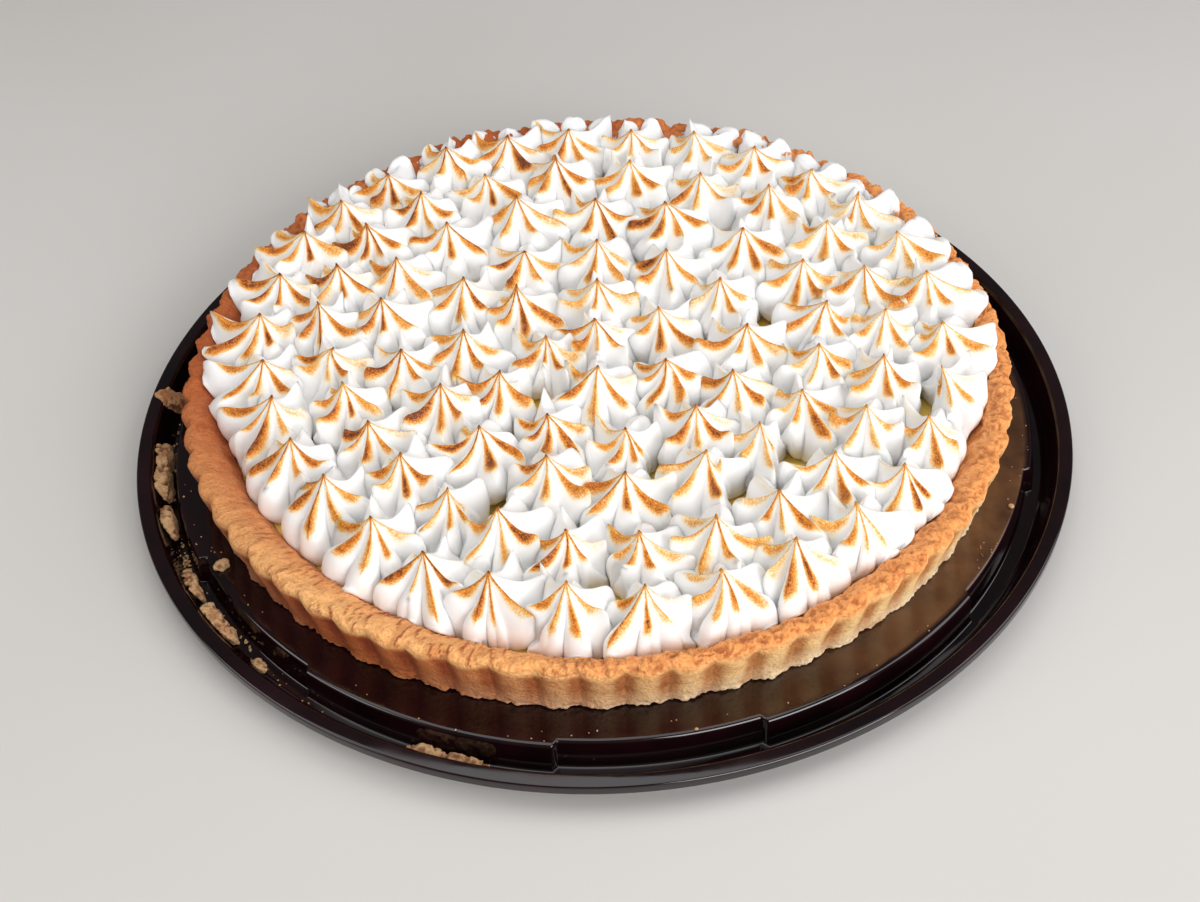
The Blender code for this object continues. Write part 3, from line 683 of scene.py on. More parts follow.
def set_lemon_cream():
    material = new_material(
        "lemon_cream_set", Roughness=0.32, IOR=1.42, Subsurface_Weight=0.5,
        Subsurface_Scale=4.0 * MM, Subsurface_Radius=(1.0, 0.8, 0.2))
    place = add(material, "TexCoord", out="Object")
    cloud = add(material, "TexNoise", Vector=place, Scale=scale_for(8.33), Detail=3.0)
    tint = add(material, "ValToRGB", cloud, stops=[(0.3, "#FFD060"), (0.7, "#FFDF84")])
    bump = add(material, "Bump", Height=cloud, Strength=0.3, Distance=0.4 * MM)
    set_shader(material, Base_Color=tint, Normal=bump)
    return material


make_piece("lemon_layer", "lemon_filling", ["lemon_filling"], set_lemon_cream(), *filling_mesh())

# %% [markdown]
# ## Where the kisses stand
#
# Ninety-three kisses were piped in rings, from the rim to one in the middle. A hand with a
# piping bag keeps rings, but not exactly: each ring is a little off the middle, a little oval
# and a little three-cornered, and its kisses crowd towards one side. Then every kiss misses its
# place by up to 1.5 mm. The same rule and the same seeded random numbers lay them out here as
# in the CAD, so they stand where its solid does.

# %% The layout of the kisses
Kiss = namedtuple("Kiss", "middle tip height turn ring")
RING_COUNTS = [6, 12, 18, 25, 31]
RING_RADII = [23.4 * MM, 48.1 * MM, 72.6 * MM, 96.3 * MM, 116.9 * MM]
RING_TURNS = [23.6, 30.7, 9.1, 6.4, 10.2]
# in mm: how the radius changes once, twice and three times round, as cosine and sine
RING_WAVES = [((-0.5, -0.6), (2.2, -7.2), (0.0, 1.5)), ((1.6, -1.6), (-0.9, -4.6), (0.0, 2.5)),
              ((3.2, 4.3), (0.5, -5.1), (1.0, 3.7)), ((3.0, 2.7), (-1.5, -3.6), (0.0, 2.5)),
              ((1.5, 2.6), (-2.5, -2.5), (0.0, 1.2))]
# in mm: how far the kisses lie ahead of even spacing, once and twice round
RING_CROWDING = [((-2.7, 0.0), (-2.7, 0.5)), ((-4.2, -4.6), (-2.2, 0.6)),
                 ((-2.9, -4.9), (-4.5, -2.5)), ((-11.8, 5.4), (-1.3, 0.0)),
                 ((-4.2, 3.8), (-0.6, 1.6))]
OUTER_RING = len(RING_COUNTS) - 1
LOBES = 7
KISS_HEIGHT = 22.6 * MM
HEIGHT_SPREAD = 1.6 * MM
TIP_MISS = 1.5 * MM
LONGEST_LEAN = 1.6 * MM
OUTER_LEAN = 2.5 * MM
LAYOUT_SEED = 11
# the foot of every kiss lies this far from its tip, and the middle kiss this far off the centre
BASE_SHIFT = Vector((1.2 * MM, 0.6 * MM))


def unit(angle):
    """A step of length 1 in this direction."""
    return Vector((math.cos(angle), math.sin(angle)))


def heading(step):
    """The direction of a step, as an angle."""
    return math.atan2(step.y, step.x)


def waves(angle, terms):
    """A sum of waves that run once, twice and so on round, in mm."""
    return MM * sum(c * math.cos(k * angle) + s * math.sin(k * angle)
                    for k, (c, s) in enumerate(terms, 1))


def ring_point(ring, index):
    """Where a ring's kiss stands before it misses its place."""
    even = math.radians(RING_TURNS[ring]) + TURN * index / RING_COUNTS[ring]
    angle = even + waves(even, RING_CROWDING[ring]) / RING_RADII[ring]
    return unit(angle) * (RING_RADII[ring] + waves(angle, RING_WAVES[ring]))


def kiss_layout():
    """Every kiss; the middle one stands in no ring, so its ring is -1."""
    rng = random.Random(LAYOUT_SEED)
    places = [(-1, BASE_SHIFT)]
    for ring, count in enumerate(RING_COUNTS):
        places += [(ring, ring_point(ring, index)) for index in range(count)]
    layout = []
    for ring, place in places:
        tip = place + unit(rng.uniform(0, TURN)) * TIP_MISS * rng.random()
        lean = unit(rng.uniform(0, TURN)) * LONGEST_LEAN * rng.random() - BASE_SHIFT
        if ring == OUTER_RING:
            lean -= tip.normalized() * OUTER_LEAN
        height = KISS_HEIGHT + rng.uniform(-1, 1) * HEIGHT_SPREAD
        layout.append(Kiss(tip - lean, tip, height, rng.uniform(0, TURN), ring))
    return layout


kisses = kiss_layout()
print(len(kisses), "kisses")

# %% [markdown]
# ## The form of a kiss
#
# A star nozzle with seven teeth presses out a rope with seven lobes. Held still, it makes a fat
# star that spreads; pulled up and away, it leaves a low tent of thin ridges that run to a
# pointed tip. So a kiss has an outline along each ridge and one along the crease beside it,
# and its surface swings from one to the other seven times round: with fat lobes and tight
# creases at the foot, and sharp ridges and soft hollows near the tip.
#
# Not all lobes end alike. Some are round fingers, some were dragged out into a pointed wing
# that stands up at its end, and those that hang down the front over the crust slope all the way.
# Each lobe here is a blend of the three.

# %% The outlines of a kiss
# share of the way up the outline: share of the lobe's length, share of the kiss's height
TIP_END = [(0.65, 0.493, 0.715), (0.74, 0.352, 0.768), (0.83, 0.218, 0.838),
           (0.91, 0.113, 0.908), (0.97, 0.039, 0.965), (1.00, 0.016, 1.00)]
FINGER = [(0.00, 0.81, 0.00), (0.08, 0.915, 0.093), (0.17, 0.99, 0.235), (0.25, 1.00, 0.37),
          (0.32, 0.965, 0.49), (0.39, 0.885, 0.585), (0.47, 0.775, 0.642),
          (0.56, 0.634, 0.679)] + TIP_END
WING = [(0.00, 0.84, 0.00), (0.08, 0.93, 0.11), (0.17, 0.985, 0.28), (0.25, 1.00, 0.45),
        (0.32, 1.00, 0.60), (0.37, 0.985, 0.70), (0.41, 0.93, 0.725), (0.48, 0.80, 0.71),
        (0.56, 0.65, 0.695)] + TIP_END
SLOPING = [(0.00, 0.99, 0.00), (0.08, 1.00, 0.10), (0.17, 0.985, 0.205), (0.25, 0.94, 0.315),
           (0.32, 0.875, 0.41), (0.39, 0.79, 0.49), (0.47, 0.69, 0.56),
           (0.56, 0.565, 0.635), (0.65, 0.44, 0.70), (0.74, 0.315, 0.765),
           (0.83, 0.20, 0.838), (0.91, 0.105, 0.908), (0.97, 0.038, 0.965), (1.00, 0.016, 1.00)]
CREASE = [(0.00, 0.70, 0.00), (0.08, 0.73, 0.07), (0.17, 0.725, 0.168), (0.25, 0.683, 0.265),
          (0.32, 0.62, 0.35), (0.39, 0.55, 0.425), (0.47, 0.465, 0.504), (0.56, 0.366, 0.593),
          (0.65, 0.275, 0.677), (0.74, 0.19, 0.761), (0.83, 0.12, 0.841), (0.91, 0.063, 0.912),
          (0.97, 0.028, 0.965), (1.00, 0.014, 1.00)]
KISS_ROWS = 36
LOBE_COLUMNS = 12
way_up = np.linspace(0, 1, KISS_ROWS)[:, None]
finger, wing, sloping, crease = (smooth_curve(outline, KISS_ROWS)[:, None, :]
                                 for outline in (FINGER, WING, SLOPING, CREASE))

# %% [markdown]
# Between two neighbours the border is the line midway between them. A lobe that points
# straight at a neighbour's lobe stops there, one that points into the gap between two is long,
# and one that meets the neighbour's crease runs on into it. Here and there the hand left a gap,
# 6 to 14 mm wide, and the lobes round it stop short.

# %% How long each lobe is
# each gap in mm: its place to the right and to the back of the tart's middle, and its radius
GAPS = [(62, -55, 7.0), (41, -67, 4.15), (-2, -108, 6.6), (108, -31, 3.3), (60, 19, 4.3),
        (-20, -20, 5.8), (-36, -76, 5.2), (16, -52, 3.2)]
# a gap whose middle is further away than this shortens no lobe
GAP_REACH = 20 * MM
SHORTEST_LOBE = 4.5 * MM
LONGEST_LOBE = 18.0 * MM
LONGEST_OUTER_LOBE = 21.5 * MM
LONGEST_CREASE = 15.0 * MM
CREASE_STOP = 3.0 * MM
# only a neighbour that stands this far ahead, as a cosine, is in a lobe's way
AHEAD = 0.2


def along(step, angle):
    """How far a step goes in each of these directions."""
    return np.cos(angle) * step.x + np.sin(angle) * step.y


def up_to_gaps(middle, angle, far):
    """A distance from this place, cut short where a gap lies in that direction."""
    for right, back, size in GAPS:
        gap, size = Vector((right, back)) * MM - middle, size * MM
        if gap.length < GAP_REACH:
            ahead = along(gap, angle)
            beside = size ** 2 - (gap.length_squared - ahead ** 2)
            edge = np.maximum(ahead - np.sqrt(np.maximum(beside, 0)), SHORTEST_LOBE)
            far = np.where((ahead > 0) & (beside > 0), np.minimum(far, edge), far)
    return far


def neighbours(index, count=8):
    """The nearest kisses, by number and by the way to their middles."""
    middle = kisses[index].middle
    others = [(k, kiss.middle - middle) for k, kiss in enumerate(kisses) if k != index]
    return sorted(others, key=lambda other: other[1].length)[:count]


def crease_there(index, direction):
    """1 where a kiss has a crease in this direction, 0 where it has a ridge."""
    return 0.5 - 0.5 * math.cos(LOBES * (heading(direction) - kisses[index].turn))


def lobe_length(index, direction, wanted):
    """How far a lobe runs before it meets a neighbour."""
    far = wanted
    for other, apart in neighbours(index):
        facing_it = direction.dot(apart)
        if facing_it > AHEAD * apart.length:
            share = 0.50 + 0.15 * crease_there(other, -direction)
            far = min(far, share * apart.length_squared / facing_it)
    return float(up_to_gaps(kisses[index].middle, heading(direction), far))


def free_end(index, angle, radius):
    """How far it is from a kiss's middle to a circle round the tart's middle."""
    middle = kisses[index].middle
    outward = along(middle, angle)
    inside = np.maximum(0.0, outward ** 2 + radius ** 2 - middle.length_squared)
    return np.sqrt(inside) - outward


def border(index, angle):
    """Distance from a kiss's middle to the lines midway to its neighbours, or to the crust."""
    middle = kisses[index].middle
    crust = free_end(index, angle, meringue_end(heading(middle)) - CREASE_STOP)
    far = np.minimum(LONGEST_CREASE, crust)
    for _, apart in neighbours(index):
        facing_it = along(apart, angle)
        midway = 0.5 * apart.length_squared / np.maximum(facing_it, AHEAD * apart.length)
        far = np.minimum(far, np.where(facing_it > AHEAD * apart.length, midway, far))
    return up_to_gaps(middle, angle, far)


# %% [markdown]
# The outermost lobes run out over the crust: right onto the rim at the back and the sides, but
# only down to its slope at the front. Their corners are lifted until they lie on it.

# %% The crust under the outer lobes
# direction in degrees: where the meringue ends, in mm from the tart's middle
MERINGUE_END = [(-180, 136.5), (-164, 127.0), (-148, 125.5), (-104, 127.5), (-90, 131.5),
                (-76, 129.5), (-50, 130.0), (-25, 129.0), (-8, 134.5), (10, 137.5), (90, 137.5),
                (160, 138.0), (180, 136.5)]
# the inner part of the shell's section, from its foot up to the crest of the rim
CREST = 0.60
SLOPE = [row[1:3] for row in SHELL_SECTION[::-1] if row[0] >= CREST]
LOBE_THICKNESS = 3.6 * MM


def meringue_end(angle):
    """How far from the tart's middle the outer lobes end in this direction."""
    directions, radii = zip(*MERINGUE_END)
    return np.interp(half_turn(np.degrees(angle)), directions, radii) * MM


def slope_height(radius, angle):
    """Height of the crust's inside over the table at a distance from the tart's middle."""
    radii, heights = zip(*SLOPE)
    spread = rim_spread(angle)
    inner = 1 - smoothstep(133.0 * MM, 137.4 * MM, radius + spread)
    height = np.interp((radius + spread * inner) / MM, radii, heights) * MM
    share_up = np.clip(height / CRUST_HEIGHT, 0, 1)
    height = height - spread * INNER_DROP * inner * share_up
    return CRUST_BASE + height + rim_rise(angle) * smoothstep(0.35, 0.98, share_up)


# %% [markdown]
# First each lobe gets its own character from seeded random numbers, then the values of the
# seven lobes are spread over the columns between them.

# %% The lobes of one kiss
OUTER_LOBE = 13 * MM
# in degrees: the middle of the front where lobes hang down, and how soon that fades out
HANGING_MIDDLE = -95
HANGING_REACH = (48, 75)
# how much closer the columns stand near the ridges and the creases
COLUMN_CROWDING = 0.085


def hangs_down(angle):
    """1 for a direction in which outer lobes slope down over the front of the crust."""
    off = abs(half_turn(math.degrees(angle) - HANGING_MIDDLE))
    return float(1 - smoothstep(*HANGING_REACH, off))


def plan_lobe(index, angle, rng):
    """Length, slope, pointedness, lift and swerve of the lobe that points this way."""
    middle, direction = kisses[index].middle, unit(angle)
    outward, wanted = 0.0, LONGEST_LOBE
    if kisses[index].ring == OUTER_RING:
        outward = float(smoothstep(0.2, 0.75, direction.dot(middle.normalized())))
        end = meringue_end(heading(middle + direction * OUTER_LOBE)) + rng.gauss(0, 1.0) * MM
        wanted = min(LONGEST_OUTER_LOBE, float(free_end(index, angle, end)))
    length = lobe_length(index, direction, wanted) * rng.uniform(0.94, 1.05)
    slope = outward * hangs_down(heading(middle))
    pointed = rng.choice((0.0, 0.1, 0.25, 0.7, 1.0)) * (1 - slope)
    lift = (rng.gauss(0.2, 0.8) + 1.2 * pointed) * MM * (1 - slope)
    swerve = math.radians(rng.gauss(0, 8))
    # one number is drawn and left, so that all that are drawn after it stay the same
    rng.random()
    return length, slope, pointed, lift, swerve


def spread_columns(ridge_angles, values):
    """For each column: its lobe, place between crease (1) and ridge (0), angle and values."""
    place = -1 + 2 * np.arange(LOBE_COLUMNS) / LOBE_COLUMNS
    across = np.tile(place - COLUMN_CROWDING * np.sin(TURN * place), LOBES)
    lobe = np.repeat(np.arange(LOBES), LOBE_COLUMNS)
    own = np.array(ridge_angles)
    other = np.where(across < 0, (lobe - 1) % LOBES, (lobe + 1) % LOBES)
    half_way = np.where(across < 0, own[lobe] - own[other], own[other] - own[lobe]) % TURN / 2
    angle = own[lobe] + across * half_way
    share = np.abs(across)[:, None]
    values = values[lobe] * (1 - share / 2) + values[other] * share / 2
    return lobe, across, angle, values


# %% [markdown]
# Now one kiss. Rows run up the outline, columns run round, and both outlines meet in
# the weight that says how much of a ridge each column has.

# %% One kiss as rows of corners
KISS_SEED = 900
# between these distances from the tart's middle the creases stop being filled
FILLED_ZONE = (116 * MM, 120 * MM)
# how far up the outline a lobe's raised end lies, and how much of the outline it takes
LOBE_END = 0.41
LOBE_END_LENGTH = 0.13


def kiss_rows(index):
    """The corners of one kiss, and the fields that say how scorched they are."""
    middle, tip, height, turn = kisses[index][:4]
    rng = random.Random(KISS_SEED + index)
    twist = math.radians(rng.gauss(9, 13))
    ridge_angles = [turn + TURN / LOBES * k + math.radians(rng.gauss(0, 4)) for k in range(LOBES)]
    plans = np.array([plan_lobe(index, angle, rng) for angle in ridge_angles])
    lobe, across, angle, values = spread_columns(ridge_angles, plans)
    length, slope, pointed, lift, swerve = values.T
    share = np.abs(across)

    pointed_end = pointed * (1 - share)
    ridge = finger * (1 - pointed_end[:, None]) + wing * pointed_end[:, None]
    ridge = ridge * (1 - slope[:, None]) + sloping * slope[:, None]
    sharp = smoothstep(0.30 - 0.18 * pointed, 0.62 - 0.22 * pointed, way_up)
    weight = (1 - sharp) * (1 - share ** 2.4) ** 0.85 + sharp * (1 - share) ** 1.6
    spot = np.array(middle)[:, None] + 11 * MM * np.stack([np.cos(angle), np.sin(angle)])
    open_gap = smoothstep(0.25, 0.5, noise(np.stack([*spot, 0 * angle], -1), 14 * MM, 77))
    inside = 1 - smoothstep(*FILLED_ZONE, np.hypot(*spot))
    bed = border(index, angle) * (1.02 - 0.25 * open_gap * inside)
    filled = (1 - open_gap) * inside
    low_down = 1 - smoothstep(0.10 + 0.08 * filled, 0.30 + 0.13 * filled, way_up)
    crease_radius = np.maximum(crease[..., 0] * length, bed * low_down)
    radial = crease_radius * (1 - weight) + ridge[..., 0] * length * weight
    rise = crease[..., 1] * (1 - weight) + ridge[..., 1] * weight
    hump = lift * (1 - share) * np.exp(-((way_up - LOBE_END) / LOBE_END_LENGTH) ** 2)

    twisted = angle + twist * (way_up - 0.25) + swerve * (1 - share) * (1 - way_up) ** 2
    hook = Vector((rng.gauss(0, 0.5), rng.gauss(0, 0.5))) * MM * (3 if rng.random() < 0.1 else 1)
    bend, curl = way_up ** 1.6, way_up ** 9
    x = middle.x + (tip - middle).x * bend + hook.x * curl + radial * np.cos(twisted)
    y = middle.y + (tip - middle).y * bend + hook.y * curl + radial * np.sin(twisted)
    z = FILLING_TOP + KISS_CLEARANCE + rise * height + hump
    rows = np.stack([x, y, z], -1)
    swollen = np.sin(math.pi * np.clip(way_up * 1.05, 0, 1))
    puff = rough(rows, 6.5 * MM, 2, 50) * 0.4 * MM * swollen
    rows[..., 0] += puff * np.cos(twisted)
    rows[..., 1] += puff * np.sin(twisted)
    rows[..., 2] = lie_on_crust(rows, weight)
    fields = scorch_fields(index, ridge_angles, lobe, across, radial, rng)
    rows[..., :2] += np.array(TART_CENTRE)
    return rows, fields


def lie_on_crust(rows, weight):
    """The rows' heights, raised where the crust is under them."""
    x, y, z = rows[..., 0], rows[..., 1], rows[..., 2]
    thickness = 0.25 * MM + LOBE_THICKNESS * smoothstep(0.0, 0.36, way_up) * weight
    floor = slope_height(np.hypot(x, y), np.arctan2(y, x)) + thickness
    return np.maximum(z, floor)


# %% [markdown]
# ## Scorching
#
# A gas torch browns what sticks out: first the thin ridges, as dark lines, then a golden
# drop-shaped patch where each ridge flattens into its lobe. The flame came from the front left,
# so a patch lies on the side of the ridge that faces it and ends sharply at the crest, and
# ridges that face away stayed white. The torch stayed longer over the left half. All of that is
# known while a kiss is made, so each corner stores how scorched it is, and the material only
# adds the grain.

# %% The scorch on one kiss
FLAME_SIDE = math.radians(-118)
TORCHED_RADIUS = 130 * MM


def towards_flame(angle):
    """1 for a side that faces the flame, 0 for one that faces away."""
    return 0.5 + 0.5 * np.cos(angle - FLAME_SIDE)


def torch_over(place):
    """How long the torch stayed over this place, from 0 to about 1.1."""
    x, y = place.x / TORCHED_RADIUS, place.y / TORCHED_RADIUS
    back_right = max(0.0, (x + y) / 1.4 - 0.35)
    front_edge = max(0.0, -y - 0.78)
    return 0.74 - 0.22 * x + 0.10 * y - 0.45 * back_right - 0.5 * front_edge


def scorch_fields(index, ridge_angles, lobe, across, radial, rng):
    """Two values for each corner: how browned it is, and how charred."""
    def for_lobes(low, high):
        return np.array([rng.uniform(low, high) for _ in range(LOBES)])[lobe]

    down = 1 - way_up
    stay = torch_over(kisses[index].middle) * rng.uniform(0.75, 1.2)
    own = np.array(ridge_angles)[lobe]
    ridge = smoothstep(0.02, 0.60, towards_flame(own)) * for_lobes(0.65, 1.15)
    side = towards_flame(own + math.radians(80) * np.clip(across / 0.22, -1, 1)) ** 1.2
    off = np.abs(across) * radial * TURN / LOBES / 2
    end = for_lobes(0.50, 0.68)
    line = np.exp(-(off / ((0.22 + 0.45 * down) * MM)) ** 2) * for_lobes(0.45, 1.05)
    line = line * (1 - smoothstep(end - 0.12, end + 0.10, down)) * (0.35 + 0.7 * stay)
    width = for_lobes(1.5, 4.8) * MM * smoothstep(0.05, 0.62, down) + 0.35 * MM
    reach = smoothstep(0.08, 0.36, down) * (1 - smoothstep(end - 0.08, end + 0.04, down))
    patch = side * (1 - smoothstep(0.35, 1.0, off / width)) * reach
    patch = patch * (1 - smoothstep(0.34, 0.62, np.abs(across)))
    patch = patch * (0.20 + 0.78 * for_lobes(0, 1) ** 0.8) * (0.55 + 0.6 * stay)
    tip = (1 - smoothstep(0.01, 0.07, down)) * (0.3 + 0.6 * stay)
    brown = np.maximum(ridge * np.maximum(line, patch), tip + 0 * off)
    nib = np.exp(-((down - 0.60) / 0.03) ** 2 - (off / (0.7 * MM)) ** 2)
    nib = (for_lobes(0, 1) > 0.86) * nib
    char = np.clip(stay * 1.2, 0.1, 0.9) * (1 - smoothstep(0.008, 0.035, down)) + 0 * off
    return {"scorch": brown, "char": np.maximum(char, 0.7 * nib * ridge)}


# %% [markdown]
# ### Italian meringue, torched
#
# Whipped egg white and syrup is a foam with bubbles far smaller than a millimetre. It is
# nearly pure white, satin rather than glossy, and lets a little light through, which keeps its
# shadows pale. Sugar browns in steps: cream, gold, chestnut, black. Each step has its own
# colour here, and a fine grain breaks up the edges, because tall bubbles burn first.

# %% The meringue's material
def torched_meringue():
    material = new_material(
        "italian_meringue_torched", IOR=1.40, Subsurface_Weight=0.60,
        Subsurface_Scale=3.5 * MM, Subsurface_Radius=(1.0, 0.92, 0.85))
    place = add(material, "TexCoord", out="Object")
    patches = add(material, "TexNoise", Vector=place, Scale=scale_for(2.38), Detail=2.0)
    # the grain of burst bubbles, drawn at 0.5 mm, which is twice its real size, to be seen
    grain = add(material, "TexNoise", Vector=place, Scale=scale_for(0.5263), Detail=2.0)
    scorch, char = (add(material, "Attribute", attribute_name=name, out="Fac")
                    for name in ("scorch", "char"))
    uneven = add(material, "MapRange", patches, 0.3, 0.7, 0.78, 1.2)
    speckle = add(material, "MapRange", grain, 0.32, 0.68, 0.58, 1.42)
    browned = scorch
    for share in (uneven, speckle):
        browned = add(material, "Math", browned, share, operation="MULTIPLY")
    sugar = add(material, "ValToRGB", browned, stops=[
        (0.00, "#F8F8F7"), (0.08, "#FAEEDC"), (0.17, "#F2CE98"), (0.28, "#E9A84C"),
        (0.48, "#D28028"), (0.74, "#A3581D"), (1.00, "#66300F")])
    burnt = add(material, "Mix", char, sugar, "#2A130A", **BLEND)
    gloss = add(material, "MapRange", scorch, 0.1, 0.6, 0.42, 0.62)
    bump = add(material, "Bump", Height=grain, Strength=0.2, Distance=0.2 * MM)
    set_shader(material, Base_Color=burnt, Roughness=gloss, Normal=bump)
    return material


# %% [markdown]
# The kisses of a ring become one mesh, since nobody will ever move one alone, and five meshes
# are lighter to handle than ninety-three. All of them together stand for the CAD's meringue.

# %% Piping the rings
meringue = torched_meringue()
KISS_COLUMNS = LOBES * LOBE_COLUMNS
KISS_CORNERS = KISS_ROWS * KISS_COLUMNS + 2


def pipe_ring(name, indices):
    """One mesh with these kisses, each behind the other in the lists of corners and faces."""
    corners, quads, triangles = [], [], []
    fields = {"scorch": [], "char": []}
    for number, index in enumerate(indices):
        rows, own = kiss_rows(index)
        own_quads, own_triangles = tube_faces(KISS_ROWS, KISS_COLUMNS, number * KISS_CORNERS)
        corners.append(tube_corners(rows))
        quads.append(own_quads)
        triangles.append(own_triangles)
        for key, values in own.items():
            fields[key].append(np.append(values.ravel(), [0.0, values[-1].mean()]))
    fields = {key: np.concatenate(values) for key, values in fields.items()}
    make_piece(name, "meringue", ["meringue"], meringue, np.concatenate(corners),
               np.concatenate(quads), np.concatenate(triangles), fields)


for ring in range(OUTER_RING + 1):
    # the middle kiss goes with the innermost ring
    chosen = [k for k, kiss in enumerate(kisses) if max(kiss.ring, 0) == ring]
    pipe_ring(f"kisses_ring_{ring + 1}", chosen)

# %% [markdown]
# ## Broken bits of crust
#
# When the tart was set on its tray, bits of the rim broke off and fell beside it, most of them
# into the gutter. The CAD has each as a plain lump of the right size and place. Here its mesh
# is cut into cells of 0.35 mm by a voxel remesh, which gives corners everywhere, and noise then
# pushes them in and out: broken shortcrust is all lumps and holes, with no flat face left.

# %% Lumps from the CAD's plain bits
BIT_CELL = 0.35 * MM


def remeshed(node):
    """Corners, normals and quads of a CAD node's mesh, cut into even cells."""
    copy = put_in_scene("remeshing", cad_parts[node].data.copy())
    modifier = copy.modifiers.new("cells", "REMESH")
    modifier.mode = "VOXEL"
    modifier.voxel_size = BIT_CELL
    ready = copy.evaluated_get(bpy.context.evaluated_depsgraph_get())
    mesh = bpy.data.meshes.new_from_object(ready)
    corners = np.array([v.co for v in mesh.vertices])
    normals = np.array([v.normal for v in mesh.vertices])
    quads = np.array([face.vertices[:] for face in mesh.polygons])
    bpy.data.objects.remove(copy, do_unlink=True)
    bpy.data.meshes.remove(mesh)
    return corners, normals, quads


def broken_bit(name, node, seed, sunk, pale):
    """A crumbly lump in place of a plain bit; sunk lowers its top by so many metres."""
    corners, normals, quads = remeshed(node)
    low, high = corners[:, 2].min(), corners[:, 2].max()
    corners[:, 2] = low + (corners[:, 2] - low) * (high - low - sunk) / (high - low)
    lumps = rough(corners, 3.2 * MM, 3, seed)
    holes = smoothstep(0.1, 0.7, rough(corners, 1.7 * MM, 2, seed + 9))
    push = 0.55 * lumps + 0.15 - 0.9 * holes
    corners = corners + normals * push[:, None] * MM
    # the holes are sunk in, and the material gives them painted shade
    make_piece(name, "baked_crumb", [node], crumb_of_crust, corners, quads,
               np.zeros((0, 3), int), {"holes": holes, "pale": pale + 0.5 * lumps})


# %% [markdown]
# ### The crumb of shortcrust
#
# Inside, shortcrust is paler than its skin: the colour of sand, with brown where it was near
# the surface. It is dry and quite matt. The holes get painted shade beyond what their form
# casts, since light gets lost in an open crumb.

# %% The crumb's material and pieces
def baked_crumb():
    material = new_material("shortcrust_crumb", Roughness=0.85)
    place = add(material, "TexCoord", out="Object")
    # the grain, drawn at 0.8 mm, a little coarser than it is, to be seen
    grain = add(material, "TexNoise", Vector=place, Scale=scale_for(0.769), Detail=4.0)
    patches = add(material, "TexNoise", Vector=place, Scale=scale_for(4.35), Detail=2.0)
    pale, holes = (add(material, "Attribute", attribute_name=name, out="Fac")
                   for name in ("pale", "holes"))
    toasted = add(material, "ValToRGB", patches, stops=[
        (0.35, "#96603A"), (0.5, "#B3835A"), (0.7, "#C29A70")])
    sand = add(material, "ValToRGB", grain, stops=[
        (0.30, "#A98A68"), (0.5, "#FFFFFF"), (0.8, "#FFFFFF")])
    colour = toasted
    # painted shade: the holes are darkened
    for blend, amount, layer in ((BLEND, pale, "#CDA97C"), (BLEND, holes, "#8A6040"),
                                 (DARKEN, 0.7, sand)):
        colour = add(material, "Mix", amount, colour, layer, **blend)
    bump = add(material, "Bump", Height=grain, Strength=0.8, Distance=0.4 * MM)
    set_shader(material, Base_Color=colour, Normal=bump)
    return material


FIRST_BIT_SEED = 100
SEEDS_PER_BIT = 7
crumb_of_crust = baked_crumb()
bits = [f"gutter_piece_{number}" for number in range(1, 7)] + ["leaning_shard", "plateau_flake"]
for number, node in enumerate(bits):
    sunk = 1.8 * MM if node == "gutter_piece_6" else 0.0
    pale = -0.2 if node == "leaning_shard" else 0.5
    broken_bit("broken_" + node, node, FIRST_BIT_SEED + SEEDS_PER_BIT * number, sunk, pale)

# %% [markdown]
# ## Crumbs
#
# Crumbs of 0.3 to 1.5 mm lie thickest in the gutter beside the bits they came from, along the
# crust's foot, and thinly over the plateau. Each is a small ball with its corners pushed about.
# All of them are one mesh.

# %% Where crumbs lie
# direction and spread of each group in degrees, and how many crumbs it has
GUTTER_CRUMBS = [(181, 4, 14), (187, 8, 16), (203.5, 2.6, 40), (212, 12, 22), (221, 3, 12),
                 (227, 6, 8), (251, 5, 24), (262, 12, 7)]
PLATEAU_CRUMBS = [(205, 30, 14), (265, 50, 16), (322, 22, 22), (350, 20, 6)]
# direction in degrees, then distance from the middle and radius in mm
BIG_CRUMBS = [(334.5, 143.4, 0.75), (196.0, 145.0, 0.4), (279.0, 143.8, 0.45)]
# nearest and furthest distance from the tray's middle
GUTTER_BAND = (149.0 * MM, GUTTER_RADIUS - 0.4 * MM)
PLATEAU_BAND = (141.5 * MM, 146.0 * MM)
PLACE_SEED = 17
FORM_SEED = 23


def wall_setback(degrees):
    """How far the plateau's wall stands back in one direction."""
    return float(setback(np.array([degrees]))[0])


def crumb_places():
    """Direction, distance, height and radius of each crumb."""
    rng = random.Random(PLACE_SEED)
    crumbs = []
    for middle, spread, count in GUTTER_CRUMBS:
        for _ in range(count):
            degrees = rng.gauss(middle, spread / 2)
            radius = rng.uniform(GUTTER_BAND[0] - wall_setback(degrees), GUTTER_BAND[1])
            crumbs.append((degrees, radius, SKIN, rng.choice((0.2, 0.3, 0.3, 0.55)) * MM))
    for middle, spread, count in PLATEAU_CRUMBS:
        for _ in range(count):
            degrees = rng.gauss(middle, spread / 2)
            radius = rng.uniform(*PLATEAU_BAND) - wall_setback(degrees)
            crumbs.append((degrees, radius, PLATEAU_TOP, rng.choice((0.14, 0.18, 0.25)) * MM))
    crumbs += [(degrees, radius * MM, PLATEAU_TOP, size * MM)
               for degrees, radius, size in BIG_CRUMBS]
    return crumbs


def crumb_ball():
    """Corners and triangles of a ball of radius 1."""
    bm = bmesh.new()
    bmesh.ops.create_icosphere(bm, subdivisions=2, radius=1.0)
    corners = np.array([v.co for v in bm.verts])
    triangles = np.array([[v.index for v in face.verts] for face in bm.faces])
    bm.free()
    return corners, triangles


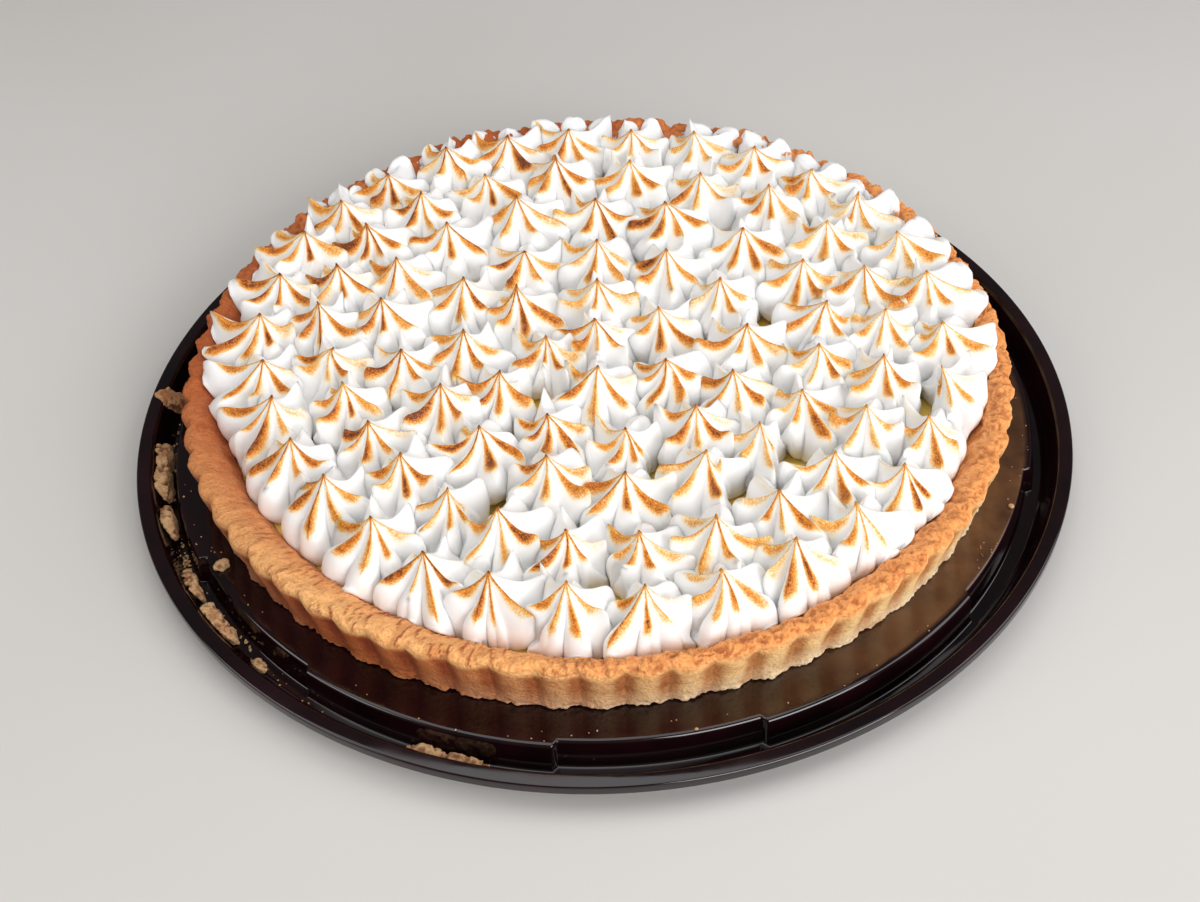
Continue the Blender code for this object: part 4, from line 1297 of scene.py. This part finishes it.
def scatter_crumbs():
    ball, ball_triangles = crumb_ball()
    rng = random.Random(FORM_SEED)
    corners, triangles, pale = [], [], []
    for number, (degrees, radius, height, size) in enumerate(crumb_places()):
        form = ball * (1 + 0.45 * noise(ball + number * 7.3, 0.9, 5)[:, None])
        form = form * np.array([rng.uniform(0.7, 1.3), rng.uniform(0.7, 1.3), 0.8]) * size
        middle = unit(math.radians(degrees)) * radius
        corners.append(form + np.array([middle.x, middle.y, height - form[:, 2].min()]))
        triangles.append(ball_triangles + number * len(ball))
        pale += [rng.uniform(0.2, 1.0)] * len(ball)
    make_piece("crust_crumbs", "baked_crumb", [], crumb_of_crust, np.concatenate(corners),
               np.zeros((0, 4), int), np.concatenate(triangles),
               {"holes": np.zeros(len(pale)), "pale": pale})


scatter_crumbs()

# %% [markdown]
# ## Floor, light and camera
#
# The tart is shown as a cook would serve it, on a pale plain table, and is seen from the front
# and well above it. All four lights are large and soft. The strongest stands low at the front
# right, like a window: it lights the crust's wall, and the tray's edges mirror it as bright
# lines. One on the right gives the ridges short shadows to the left, one overhead fills the
# hollows between the kisses, and a weak one on the left opens what is still dark.

# %% The floor
FLOOR_SIZE = 3.0


def plain_floor():
    bm = bmesh.new()
    bmesh.ops.create_grid(bm, x_segments=2, y_segments=2, size=FLOOR_SIZE)
    mesh = bpy.data.meshes.new("floor")
    bm.to_mesh(mesh)
    bm.free()
    material = new_material("pale_table", Roughness=0.6)
    place = add(material, "TexCoord", out="Object")
    cloud = add(material, "TexNoise", Vector=place, Scale=scale_for(250), Detail=2.0)
    tint = add(material, "ValToRGB", cloud, stops=[(0.3, "#CFCDC9"), (0.7, "#D4D2CF")])
    set_shader(material, Base_Color=tint)
    mesh.materials.append(material)
    floor = put_in_scene("floor", mesh)
    # just under the tray, so that the two faces don't flicker through each other
    floor.location.z = -0.2 * MM


plain_floor()

# %% The lights
# name: place and size in metres, power in watts, colour
LIGHTS = {
    "key": ((1.10, 0.05, 1.0), (0.9, 0.9), 6.0, "#FFFDFC"),
    "front_fill": ((0.72, -1.10, 0.64), (1.1, 0.75), 17.6, "#FFFEFE"),
    "top_fill": ((-0.1, 0.1, 1.6), (1.4, 1.4), 9.6, "#FFFFFF"),
    "left_fill": ((-1.0, -0.30, 0.8), (0.8, 0.6), 4.5, "#FFF8F4")}
ROOM_COLOUR = "#F4F4F6"
ROOM_STRENGTH = 0.10


def soft_light(name, place, size, power, colour):
    """A rectangle of light that shines at the tray's middle."""
    lamp = bpy.data.lights.new(name, "AREA")
    lamp.shape = "RECTANGLE"
    lamp.size, lamp.size_y = size
    lamp.energy = power
    lamp.color = linear(colour)[:3]
    thing = put_in_scene(name, lamp)
    thing.location = place
    thing.rotation_mode = "QUATERNION"
    thing.rotation_quaternion = Vector(place).to_track_quat("Z", "Y")


for name, light in LIGHTS.items():
    soft_light(name, *light)
world = bpy.data.worlds.new("studio")
world.use_nodes = True
background = world.node_tree.nodes["Background"].inputs
background["Color"].default_value = linear(ROOM_COLOUR)
background["Strength"].default_value = ROOM_STRENGTH
bpy.context.scene.world = world
bpy.context.scene.view_settings.view_transform = "Standard"

# %% [markdown]
# The camera stands on the front side, 42 degrees above the table and a little over half a
# metre away, and is held slightly crooked. Its lens is close to a normal one.

# %% The camera
def place_camera(elevation, distance, roll, lens, shift):
    """A camera in front of the tray that looks at its middle; angles are in degrees."""
    data = bpy.data.cameras.new("camera")
    data.lens = lens
    data.sensor_width = 36.0
    data.shift_x, data.shift_y = shift
    camera = put_in_scene("camera", data)
    raise_by, target = math.radians(elevation), Vector((0, 0, PLATEAU_TOP))
    back = Vector((0, -math.cos(raise_by), math.sin(raise_by)))
    camera.location = target + back * distance
    camera.rotation_euler = (math.radians(90) - raise_by, 0, 0)
    camera.rotation_euler.rotate_axis("Z", math.radians(roll))
    bpy.context.scene.camera = camera


place_camera(elevation=41.92, distance=0.5509, roll=-2.62, lens=47.29, shift=(-0.0013, -0.0445))
